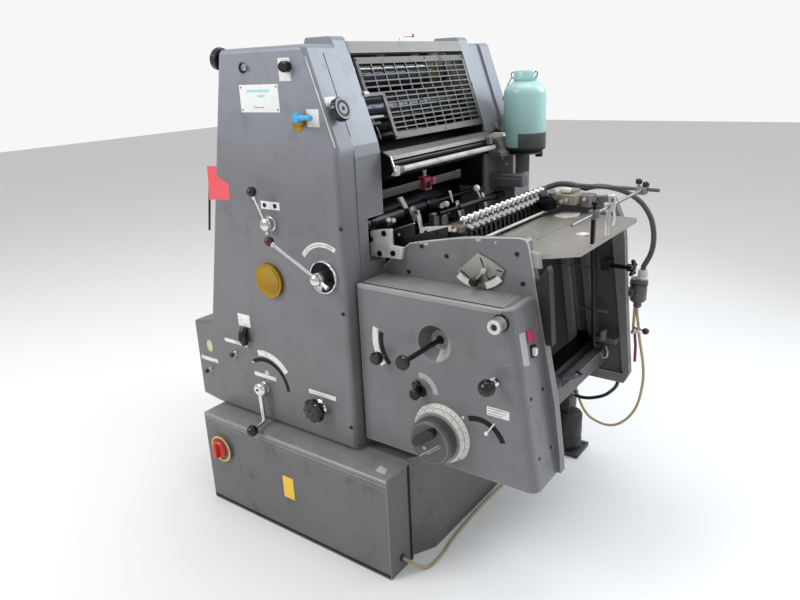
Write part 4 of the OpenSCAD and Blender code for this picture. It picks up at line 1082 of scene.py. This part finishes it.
def makeBaseDetails():
    piece = Piece("baseDetails")
    piece.brick((-418, boxFront - 1.2, 337), (389, boxFront + 6, 348.6), "lidPale", 3)
    piece.brick((-417, boxFront - 0.7, 329), (388, boxFront + 1, 331), "lipGrey", 0)
    # a dark band along the bottom of the box front: a painted shadow gap at the floor, with some floor
    # grime
    piece.brick((-417, boxFront - 0.5, 7), (388, boxFront + 1, 17), "blackHole", 0)
    piece.brick((386, -482, 8), (389.6, -468.4, 346), "blackHole", 0)
    piece.brick((-413, boxFront + 2, 347.7), (385, -468, 349.2), "lidPale", 0.6)
    piece.turned([(12, 0), (12, 3), (7, 6)], (389, -525, 46), rightward, "rubber", 24)
    piece.pipe([(-60, boxFront - 0.3, 347.6), (150, boxFront - 0.3, 347.6), (388, boxFront - 0.3, 347.6)],
               [0.4, 1.0, 1.7], "castLight", 8)
    piece.slab([(330, -555), (364, -557), (357, -532), (324, -527)], 349.5, 352, "castLight", "Z", 0.8)
    piece.close()
    spots = [(216, front, 1057), (200, front, 803), (200, front, 432)]
    repeat("coverScrews", "Points", screwPart("coverScrew", 6, 2.4), "darkSteel", points=spots)
    spots = [(450, panelFront, 967), (366, panelFront, 986), (317, panelFront, 903), (686, panelFront, 921),
             (668, panelFront, 1000)]
    repeat("panelScrews", "Points", screwPart("panelScrew", 6.5, 3), "darkSteel", points=spots)
    spots = [(x, -348, z) for x, z in ((244, 1014), (193, 991), (224, 951), (274, 957))]
    repeat("bracketBolts", "Points", screwPart("bracketBolt", 8.5, 5), "inkedSteel", points=spots)


makeBaseDetails()
print("plates, switch and screws made")

# ---- guard and what shows behind it ----


def makeGuardParts():
    up = (-math.sin(slant), 0, math.cos(slant))
    on = lambda y, u, d=0: (pinX + up[0] * u + d * up[2], y, pinZ + up[2] * u - d * up[0])
    ride = Piece("guardStrip", "grid_guard", "guard_metal")
    n = (up[2], 0, -up[0])
    patch(ride, [on(-306, 104, 1), on(-298.5, 104, 1), on(-298.5, 8, 1), on(-306, 8, 1)], n, 4, "blackHole")
    for y, u in ((-291, 99), (-291, 4), (297, 99), (297, -136), (-214, -136), (60, 99), (60, -136)):
        x, b, z = on(y, u, 3)
        ride.turned([(3.6, 0), (3, 2), (0, 2.4)], (x, b, z), n, "darkSteel", 12)
    ride.drum(9, 0, 22, (pinX, -308, pinZ), across, "castLight", 24)
    ride.close()
    piece = Piece("inkTrain", "press", "roller_rubber", ("ink_rollers",))
    spots = [(33, 96), (96, 189), (34, 174), (-48, 214), (-60, 124), (30, 246)]
    for k, (x, drop) in enumerate(spots):
        z, r = 1544 - drop, 34 if k == 0 else 29
        first = "inkPurple" if k in (0, 1) else "rubber"
        piece.turned([(12, 0), (12, 10), (r, 10), (r, 390)], (x, -inner, z), across, first, 40)
        piece.drum(r, 390, 495, (x, -inner, z), across, "rubber")
        piece.drum(r + 0.4, 495, 585, (x, -inner, z), across, "inkGreen" if k == 0 else "rubber")
        piece.turned([(r, 585), (r, 606), (12, 606), (12, 620)], (x, -inner, z), across, "rubber")
    piece.drum(6.5, 0, 462, (60, -inner, 1473), across, "chrome", 24)
    piece.drum(6, 0, 620, (132, -inner, 1330), across, "darkSteel", 20)
    for y, z in ((-79, 1513), (112, 1511), (267, 1511)):
        piece.brick((50, y - 11, z - 7), (66, y + 11, z + 3), "castLight", 3)
    piece.brick((150, -inner, 1336), (176, -232, 1342), "castLight", 2)
    piece.pipe([(172, -286, 1338), (174, -262, 1300), (174, -250, 1274)], 2, "brightSteel", 8)
    piece.drum(10, 0, 60, (168, -inner, 1318), across, "darkSteel", 24)
    piece.close()
    # a dark sheet on the drive frame's inner face: painted shade, partly oily grime
    shadeOilSheet = Piece("oilyInside")
    shadeOilSheet.slab([(-60, 1045), (204, 1045), (204, 1270), (150, 1300), (-60, 1300)], 308.4, 310.2, "railBlack")
    shadeOilSheet.close()
    handle = Piece("barHandle")
    handle.pipe([(70, 12, 1550), (68, 16, 1562), (66, 30, 1569), (64, 88, 1571)], 3.5, "chrome", 10)
    handle.ball((64, 90, 1571), 6, "redEnamel")
    handle.close()


makeGuardParts()


def makeTray():
    piece = Piece("trayParts", "press", "bright_steel", ("water_tray",))
    for y in (-inner, inner - 5):
        piece.slab([(168, 1236), (222, 1240), (246, 1230), (258, 1190), (246, 1175), (168, 1175)], y, y + 5,
                   "inkedSteel")
    piece.slab([(222, 1244), (247, 1232), (250, 1221), (246, 1221), (243, 1228), (222, 1238)], -305, 304,
               "dullSteel", "Y", 0.8)
    piece.slab([(206, 1246), (222, 1243), (222, 1239), (206, 1242)], -305, 304, "darkSteel")
    piece.slab([(168, 1234), (172, 1234), (172, 1186), (226, 1186), (226, 1198), (230, 1198), (230, 1182),
                (168, 1182)], -304, 304, "inkedSteel")
    piece.drum(22, 0, 606, (200, -303, 1210), across, "rubber")
    piece.drum(10, 0, 606, (236, -303, 1208), across, "darkSteel", 28)
    piece.slab([(246, 1234), (251, 1232), (266, 1192), (260, 1188)], -309, -304, "brightSteel", "Y", 1)
    piece.brick((245, -306, 1176), (266, -284, 1204), "castLight", 3)
    piece.brick((246, -284, 1179), (263, -256, 1201), "dullSteel", 5)
    piece.drum(9, 0, 560, (254, -258, 1190), across, "castLight", 28)
    piece.slab([(165, 1198), (203, 1216), (262, 1242), (300, 1242), (303, 1230), (255, 1220), (208, 1198),
                (165, 1184)], 284, 302, "castLight", "Y", 4)
    piece.brick((232, 262, 1204), (262, 286, 1232), "castGrey", 4)
    piece.close()
    rods = Piece("trayBar", "press", "bright_steel", ("cross_rods",))
    rods.brick((198, -309, 1104), (206, 150, 1130), "barSteel", 1.2)
    rods.brick((197, 118, 1102), (207, 152, 1132), "barSteel", 2)
    rods.drum(8, 0, 618, (222, -309, 1172), across, "inkedSteel", 20)
    rods.close()
    clamp = Piece("barClamp", "press", "red_clamp", ("bar_clamp",))
    clamp.slab([(188, 1096), (218, 1096), (218, 1132), (208, 1139), (188, 1139)], -84, -48, "redEnamel",
               "Y", 3)
    clamp.brick((206, -52, 1110), (226, -34, 1132), "redEnamel", 4)
    clamp.turned([(9, 0), (9, 22), (6, 25)], (214, -50, 1122), across, "redEnamel", 20)
    clamp.turned([(5, 0), (5, 12), (7, 13), (7, 20), (0, 21)], (202, -66, 1138), upward, "castLight", 20)
    clamp.turned([(12, 0), (12, 3), (5, 5)], (218, -70, 1112), rightward, "inkedSteel", 24)
    clamp.close()


makeTray()

# ---- register gear and feed board ----


def makeRegister():
    piece = Piece("registerGear", "press", "blackened_steel", ("register_shaft",))
    piece.turned([(18, 0), (18, 386), (15, 391)], (190, -386, 1040), across, "darkSteel", 36)
    piece.drum(8, 0, 310, (190, 0, 1040), across, "inkedSteel", 24)
    for y in (-356, -186, -60):
        piece.drum(21, 0, 14, (190, y, 1040), across, "inkedSteel", 36)
    piece.slab([(-214, 1092), (-196, 1094), (-164, 1052), (-180, 1046)], 196, 206, "castLight", "X", 2)
    piece.slab([(-180, 1054), (-150, 1060), (-126, 1032), (-132, 1004), (-160, 1010)], 204, 216,
               "dullSteel", "X", 2)
    for y, x, z in ((-140, 218, 1036), (-128, 214, 1016), (-165, 210, 1050)):
        piece.drum(6, 0, 8, (x, y, z), (1, 0, 0.2), "brightSteel", 14)
    piece.slab([(-168, 1030), (-146, 1034), (-131, 978), (-150, 974)], 233, 237, "brightSteel", "X", 0.8)
    for y, z in ((-312, 1046), (-288, 1040)):
        piece.turned([(7, 0), (7, 8), (0, 9)], (232, y, z), (1, -0.4, 0.2), "castLight", 16)
    piece.brick((224, -318, 1026), (234, -280, 1036), "darkSteel", 2)
    piece.pipe([(250, 60, 1016), (250, 372, 1013)], 11, "darkSteel", 24)
    piece.pipe([(250, 318, 1013), (250, 330, 1013)], 15, "inkedSteel", 24)
    piece.pipe([(250, -60, 1018), (250, 62, 1016)], 8, "inkedSteel", 20)
    piece.slab([(40, 1040), (60, 1042), (86, 985), (66, 982)], 248, 252, "brightSteel", "X", 0.8)
    piece.turned([(10, 0), (10, 18), (7, 20)], (240, -12, 1040), (1, -0.5, 0.2), "castLight", 20,
                 lambda a, rise: 1 - 0.06 * (1 + math.cos(10 * a)))
    piece.drum(9, 0, 26, (236, -46, 1042), (1, -0.4, 0.1), "brightSteel", 20)
    piece.pipe([(250, 26, 1040), (250, 16, 1062), (250, 8, 1080)], [2.4, 4, 4.6], "whitePiece", 14)
    piece.ball((255, 176, 1063), 12, "whitePiece")
    piece.pipe([(255, 180, 1052), (254, 196, 1036), (252, 206, 1014)], 3.5, "whitePiece", 10)
    piece.slab([(212, 1040), (230, 1038), (254, 988), (238, 986)], 250, 255, "castLight", "X", 1)
    for x, y, z, w in ((232, -60, 990, 30), (226, 0, 985, 40), (228, 110, 990, 30), (222, 250, 985, 26)):
        piece.brick((x - 12, y - w / 2, z - 28), (x + 10, y + w / 2, z + 26), "toolGrey", 3)
        piece.brick((x - 10, y - w / 2 + 3, z + 25), (x + 8, y + w / 2 - 3, z + 27.5), "castLight", 0.8)
    for y, z in ((-50, 1012), (-20, 1004), (12, 1008), (100, 1000)):
        piece.drum(5, 0, 6, (240, y, z), rightward, "castLight", 12)
    piece.close()
    board = Piece("boardParts", "press", "bright_steel", ("feed_board",))
    top = lambda x: 942 + 88 * (x - 160) / 278
    board.slab([(160, 942), (438, 1030), (438, 1020), (160, 932)], -298.5, 298.5, "dullSteel")
    for y in (-305, 299):
        board.slab([(235, top(235) + 14), (438, 1044), (438, 990), (235, top(235) - 40)], y, y + 6,
                   "darkSteel")
    board.slab([(232, 1008), (322, 1041), (322, 1006), (231, 977)], -305.5, -300, "darkSteel", "Y", 1)
    board.pipe([(232, -302.5, 1010), (322, -302.5, 1043)], 2.4, "brightSteel", 10)
    board.drum(4, 0, 2, (268, -305.5, 1004), outward, "castLight", 12)
    board.slab([(340, 1030), (362, 1036), (447, 1047), (447, 1031), (362, 1020), (340, 1014)], -303, -297,
               "castLight", "Y", 1)
    board.slab([(276, 985), (330, 1008), (362, 1014), (447, 1025), (447, 1010), (362, 1000), (275, 969)],
               -299, -294, "barLight", "Y", 1)
    for x in (362, 402):
        board.drum(4, 0, 3, (x, -303, 1022), outward, "inkedSteel", 12)
    for y in (-200, -70, 60, 190):
        board.slab([(270, top(270) + 1), (436, top(436) + 1), (436, top(436) + 3), (270, top(270) + 3)], y,
                   y + 22, "castGrey")
    board.close()
    brace = Piece("boardBracket", "press", "bright_steel", ("board_bracket",))
    brace.slab([(188, 939), (301, 941), (309, 977), (267, 979), (266, 1028), (229, 1023), (191, 1016),
                (193, 993), (188, 977)],
               -348, -332.2, "paleCast", "Y", 3)
    brace.close()


makeRegister()


def makeSuckers():
    piece = Piece("suctionBeam", "press", "chrome_parts", ("suction_head",))
    piece.brick((440, -305, 1012), (490, 310, 1030), "inkedSteel", 2)
    piece.brick((444, -262, 1030), (486, 300, 1035), "dullSteel", 1)
    piece.brick((440, -298, 1006), (478, -262, 1047), "brownBlock", 4)
    piece.turned([(9, 0), (9, 3), (6, 4), (5, 1)], (450, -298, 1028), outward, "castLight", 20)
    for x, z in ((462, 1038), (470, 1018)):
        piece.drum(5, 0, 6, (x, -298, z), outward, "brightSteel", 14)
    piece.close()
    dome = Piece("domePart", None)
    dome.turned([(9, 0), (9, 8), (6, 10), (6, 16), (12, 18), (13.5, 23), (12.5, 28), (8, 33), (0, 35)],
                (0, 0, 0), upward, "chrome", 24)
    repeat("suckerTops", "Line", dome.close(), "chrome", slot="chrome_parts", Count=16,
           Start=(455, -249, 1032), End=(455, 262, 1032))
    low = Piece("lumpPart", None)
    low.turned([(10, 0), (10, 4), (5, 6), (5, 10), (11, 12), (12, 17), (8, 23), (0, 25)], (0, 0, 0),
               (0.25, 0.1, 1), "castLight", 20)
    repeat("suckerCaps", "Line", low.close(), "brightSteel", slot="chrome_parts", Count=17,
           Start=(478, -258, 1022), End=(478, 258, 1022))
    tooth = Piece("toothPart", None)
    tooth.brick((-3, -5, -22), (3, 5, 14), "inkedSteel", 1)
    repeat("suckerTeeth", "Line", tooth.close(), "darkSteel", Count=20, Start=(492, -270, 1012),
           End=(492, 270, 1012))
    rod = Piece("sheetRod")
    rod.pipe([(520, -306, 1008), (520, 300, 1006)], 4.2, "castLight", 14)
    rod.close()


makeSuckers()


def makeManifold():
    piece = Piece("manifoldParts", "press", "cream_casting", ("air_manifold",))
    route = spread([(444, 306, 1048), (462, 316, 1058), (495, 326, 1069), (530, 330, 1070),
                    (560, 330, 1066), (594, 331, 1060)], 2.2)
    piece.pipe(route, [10.6 - 0.8 * (1 + math.cos(2 * math.pi * i / 3)) for i in range(len(route))],
               "hoseRubber", 20)
    piece.turned([(15, 0), (15, 22), (12, 26)], (436, 298, 1038), (0.6, 0.4, 0.5), "castGrey", 24)
    piece.brick((516, 212, 1022), (604, 300, 1056), "creamCasting", 7)
    piece.brick((540, 236, 1050), (588, 292, 1068), "creamCasting", 6)
    piece.brick((548, 226, 1060), (576, 250, 1074), "whitePiece", 4)
    piece.brick((604, 250, 1012), (640, 306, 1052), "castGrey", 5)
    piece.brick((500, 150, 1010), (540, 214, 1050), "inkedSteel", 6)
    piece.turned([(16, 0), (16, 34), (12, 38)], (508, 176, 1032), (0.2, -0.4, 1), "darkSteel", 20)
    piece.drum(12, 0, 30, (532, 200, 1044), (0, -0.5, 1), "castGrey", 20)
    piece.brick((480, 262, 1010), (560, 312, 1040), "inkedSteel", 5)
    for x, y, z in ((620, 246, 1040), (574, 210, 1040), (556, 212, 1034)):
        piece.drum(6, 0, 7, (x, y, z), outward, "castLight", 12)
    piece.close()


makeManifold()
print("guard, tray, register and suction parts made")

# ---- pile table, lift and rear guides ----


def makeTableParts():
    piece = Piece("tableMarks", "pile_table", "table_metal")
    piece.slab([(556, 150), (600, 138), (628, 176), (614, 232), (556, 236)], 995, 997.5, "castLight", "Z",
               0.8)
    piece.slab([(716, -56), (742, -60), (754, -40), (728, -28)], 995, 1001, "whitePiece", "Z", 2)
    piece.slab([(700, -190), (712, -192), (711, -183), (702, -182)], 995, 996, "barLight", "Z", 0.3)
    piece.brick((640, -160, 994.8), (643, 120, 995.6), "dullSteel", 0)
    piece.close()
    rear = Piece("rearGuides", "press", "bright_steel", ("rear_rods",))
    rear.drum(5.7, 0, 263, (590, 262, 1082), rightward, "toolGrey", 24)
    rear.drum(4.8, 0, 562, (802, -300, 1082), across, "dullSteel", 24)
    rear.brick((782, 246, 1066), (814, 280, 1090), "castGrey", 4)
    for x, z, top in ((788, 1090, 1100), (810, 1088, 1092)):
        rear.drum(5, 0, top - z, (x, 262, z), upward, "brightSteel", 14)
        rear.turned([(9, 0), (10, 3), (10, 12), (7, 15)], (x, 262, top - 1), upward, "blackKnob", 24,
                    lambda a, rise: 1 - 0.04 * (1 + math.cos(12 * a)) if 2 < rise < 13 else 1)
    for y, finish, other in ((-38, "brightSteel", "brightSteel"), (-150, "toolGrey", "inkedSteel")):
        rear.brick((790, y - 12, 1070), (814, y + 12, 1094), finish, 4)
        rear.turned([(4, 0), (4, 14), (8, 15), (8, 22), (5, 24)], (802, y, 1093), upward, other, 20)
        rear.brick((797, y - 8, 1001), (806, y + 7, 1072), other, 1.5)
    rear.pipe([(803, -34, 1106), (806, -16, 1112), (806, -2, 1096), (805, -4, 1066), (805, 6, 1040),
               (805, -4, 1022)], 3.4, "paleCast", 10)
    rear.close()
    lift = lambda z: 640 + (965 - z) * math.tan(math.radians(3.4))
    piece = Piece("frameInside")
    tip = lambda x, z: x + (995 - z) * math.tan(math.radians(7.8)) - 4
    # dark sheets in the pockets of the frame's inner face: painted shade
    for a, b in ((256, 494), (536, 569), (606, 684)):
        piece.slab([(tip(a, 954), 954), (tip(b, 954), 954), (tip(b, 426), 426), (tip(a, 426), 426)], 327.5,
                   329.6, "innerGrey")
    for a, b in ((500, 527), (575, 600)):
        piece.slab([(tip(a, 950), 950), (tip(b, 950), 950), (tip(b, 424), 424), (tip(a, 424), 424)], 305,
                   310.4, "castGrey", "Y", 1.5)
    piece.pipe([(526, 290, 797), (641, 284, 800)], 3, "brightSteel", 10)
    piece.turned([(9, 0), (9, 10), (5, 12)], (676, 296, 812), outward, "castLight", 16)
    piece.brick((600, 296, 640), (700, 309, 650), "innerGrey", 2)
    piece.brick((672, 272, 540), (745, 309, 556), "innerGrey", 4)
    piece.brick((690, 270, 548), (704, 300, 580), "castGrey", 3)
    piece.pipe([(704, 290, 520), (716, 280, 505), (716, 276, 488), (702, 276, 480), (690, 284, 492)], 3,
               "castLight", 10)
    piece.close()
    dark = Piece("liftMotor")
    dark.turned([(32, 0), (36, 6), (36, 150), (30, 158)], (656, -210, 510), across, "pumpBlack")
    dark.turned([(27, 0), (31, 0), (31, 4), (27, 4)], (656, -214, 510), across, "innerGrey", tube=True)
    dark.brick((600, -298, 506), (662, 306, 544), "inkedSteel", 4)
    for y in (-298, 282):
        dark.brick((600, y, 500), (640, y + 14, 560), "inkedSteel", 2)
    dark.pipe([(700, -80, 542), (724, -40, 538), (730, 10, 530), (700, 40, 522)], 4, "rubber", 10)
    dark.close()
    corner = Piece("railCap")
    corner.slab([(704, 1010), (724, 1006), (732, 966), (712, 968)], -329, -308, "lipGrey", "Y", 4)
    corner.drum(9, 0, 4, (744, -320, 944), outward, "castLight", 16)
    corner.close()
    wheel = Piece("pileWheel", "pile_handwheel", "black_knob", ("pile_handwheel",))
    start = lift(819) + 60.3
    wheel.drum(7, 0, 783 - start, (start, 278, 819), rightward, "inkedSteel", 20)
    wheel.turned([(12, -18), (13, -14), (13, 6), (9, 9)], (783, 278, 819), rightward, "blackKnob", 28)
    for k in range(5):
        a = 2 * math.pi * k / 5 + 0.3
        wheel.pipe([(783, 278 + 8 * math.cos(a), 819 + 8 * math.sin(a)), (783, 278 + 24 * math.cos(a),
                819 + 24 * math.sin(a))], 5.2, "blackKnob", 14)
        wheel.ball((783, 278 + 22 * math.cos(a), 819 + 22 * math.sin(a)), 7.5, "blackKnob", rightward)
    wheel.close()
    rim = Piece("frameRim")
    arch = [(222, 907), (324, 990), (400, 1006), (485, 1023), (573, 1034), (640, 1040), (676, 1043.5),
            (690, 1041), (698, 1032), (704, 1012), (718, 940)]
    rim.pipe([(x, -331.0, z - 0.6) for x, z in arch], [1.2, 2, 2.4, 1.4, 2.6, 1.8, 2.6, 2.8, 2.8, 2.4, 1.2],
             "castLight", 8)
    for x, z, w in ((380, 994, 9), (364, 992, 5), (548, 1024, 5), (556, 1025, 4), (604, 1024, 3)):
        rim.slab([(x - w, z + 1), (x - w * 0.4, z + 3), (x + w, z + 4), (x + w * 0.7, z - 3), (x, z - 4),
                  (x - w * 0.6, z - 2)], -332.6, -331.6, "castLight")
    rim.close()


makeTableParts()

# ---- bottle, its seat and the filter ----

bottle = {"x": 305, "y": 440, "base": 1176, "radius": 76, "shoulder": 1400, "top": 1446, "neck": 40}


def makeBottle(values):
    x, y, z, r = values["x"], values["y"], values["base"], values["radius"]
    top, neck = values["shoulder"], values["neck"]
    piece = Piece("waterBottle", "press", "bottle_plastic", ("bottle",))
    piece.turned([(r - 12, 0), (r - 4, 3), (r, 10), (r, top - z - 34), (r - 2, top - z - 22),
                  (r - 9, top - z - 10), (r - 21, top - z - 1),
                  (neck + 5, top - z + 4), (neck, top - z + 9), (neck, top - z + 38),
                  (neck - 4, top - z + 44), (0, top - z + 46)],
                 (x, y, z), upward, "bottlePlastic", 72)
    piece.turned([(neck - 1, 12), (neck + 2.5, 13), (neck + 2.5, 18), (neck - 1, 19)], (x, y, top), upward,
                 "bottlePlastic", 72, tube=True)
    piece.slab([(x + a, y + b) for a, b in arc((0, 0), r + 2.5, -80, 70, 30)] + [(x + a, y + b) for a,
            b in arc((0, 0), r - 1, 70, -80, 30)],
               z + 2, z + 54, "bottleDark", "Z", 0.8)
    piece.turned([(r - 1, -6), (r + 1.5, -4), (r + 1.5, 2), (r - 2, 4)], (x, y, z), upward, "blackHole", 64)
    for side in (-1, 1):
        piece.pipe([(x + side * (neck - 2), y - 6, top + 16), (x + side * (neck + 9), y - 8, top + 22),
                    (x + side * (neck + 11), y - 8, top + 36),
                    (x + side * (neck + 3), y - 7, top + 40), (x + side * (neck - 3), y - 6, top + 34)],
                   1.8, "darkSteel", 8)
    piece.pipe([(x - neck - 9, y - 8, top + 22), (x - neck - 34, y - 4, top - 16),
                (x - r - 14, y, top - 58)], 1.6, "darkSteel", 8)
    piece.close()
    seat = Piece("bottleSeat", "press", "bright_steel", ("bottle_bracket",))
    seat.turned([(60, -22), (68, -16), (68, -5)], (x, y, z), upward, "inkedSteel", 48)
    seat.turned([(13, -36), (14, -33), (14, -20)], (x + 46, y + 30, z), upward, "blackKnob", 24)
    seat.slab([(215, 1154), (215, 1170), (262, 1178), (275, 1168), (275, 1154)], 322, 402, "castGrey", "Y",
              4)
    seat.turned([(9, 0), (9, 26), (12, 27), (12, 34), (7, 37)], (226, 372, 1208), (0.1, 0, 1), "inkedSteel",
                24,
                lambda a, rise: 1 - 0.03 * (1 + math.cos(14 * a)) if 26 < rise < 35 else 1)
    seat.pipe([(226, 372, 1244), (232, 366, 1258), (228, 360, 1268)], 3.4, "chrome", 10)
    seat.slab([(215, 1178), (215, 1212), (248, 1216), (262, 1192), (262, 1178)], 340, 384, "castGrey", "Y",
              5)
    seat.close()
    post = Piece("postDetails")
    post.brick((289, 383.2, 1074), (297.6, 386, 1153), "whitePiece", 1)
    post.brick((296.8, 388, 1080), (298.2, 500, 1152), "inkedSteel", 0.4)
    post.brick((216, 342, 1044), (350, 386, 1088), "beamGrey", 4)
    post.brick((222, 340.5, 1046), (344, 343, 1074), "beamGrey", 1)
    for x, z in ((262, 1120), (248, 1140)):
        post.drum(5, 0, 3, (x, 385, z), outward, "castLight", 12)
    post.close()


makeBottle(bottle)


def makeFilter():
    piece = Piece("filterPot", "press", "pot_plastic", ("filter_pot",))
    x, y = 773, 396
    piece.turned([(11, 645), (14, 648), (14, 665), (24, 668), (29, 676), (29, 744), (27, 750)],
                 (x - 2, y, 0), upward, "smokyPot")
    piece.turned([(20, 0), (20, 5), (17, 8), (17, 28), (14, 33)], (x + 9, y, 750), upward, "creamCollar",
                 40,
                 lambda a, rise: 1 - 0.02 * (1 + math.cos(18 * a)) if 8 < rise < 28 else 1)
    piece.turned([(29, 728), (30.5, 729), (30.5, 740), (29, 741)], (x - 2, y, 0), upward, "pumpBlack",
                 tube=True)
    piece.brick((744, 337, 700), (768, 374, 722), "pumpBlack", 2)
    piece.pipe([(763, 396, 556), (763, 396, 646)], 5, "creamTube", 14)
    piece.pipe([(763, 394, 569), (806, 376, 569)], 3, "brightSteel", 10)
    piece.ball((813, 373, 569), 12, "redKnob", (0.93, -0.36, 0))
    piece.drum(9, 0, 22, (763, 396, 545), (0.3, 0, 1), "brightSteel", 20)
    piece.brick((770, 388, 548), (786, 402, 562), "whitePiece", 4)
    piece.pipe([(770, 394, 548), (776, 394, 500), (778, 392, 440)], 5, "redEnamel", 12)
    piece.close()


makeFilter()


def makePump():
    piece = Piece("pumpParts", "press", "pump_paint", ("pump",))
    piece.brick((418, 350, 0), (598, 470, 16), "pumpBlack", 3)
    piece.turned([(47, 16), (50, 20), (50, 60), (47, 64), (47, 70), (50, 74), (50, 158), (44, 166)],
                 (535, 410, 0), upward, "pumpBlack", 56)
    piece.brick((498, 382, 164), (545, 460, 262), "pumpBlack", 8)
    for x in (432, 584):
        for y in (364, 456):
            piece.turned([(7, 0), (7, 5), (0, 6)], (x, y, 16), upward, "dullSteel", 6)
    for y, z, r in ((440, 240, 9), (405, 240, 11)):
        piece.turned([(r, -2), (r, 7), (r - 2, 9)], (545, y, z), rightward, "dullSteel", 20)
    piece.close()


makePump()
print("bottle, filter and pump made")
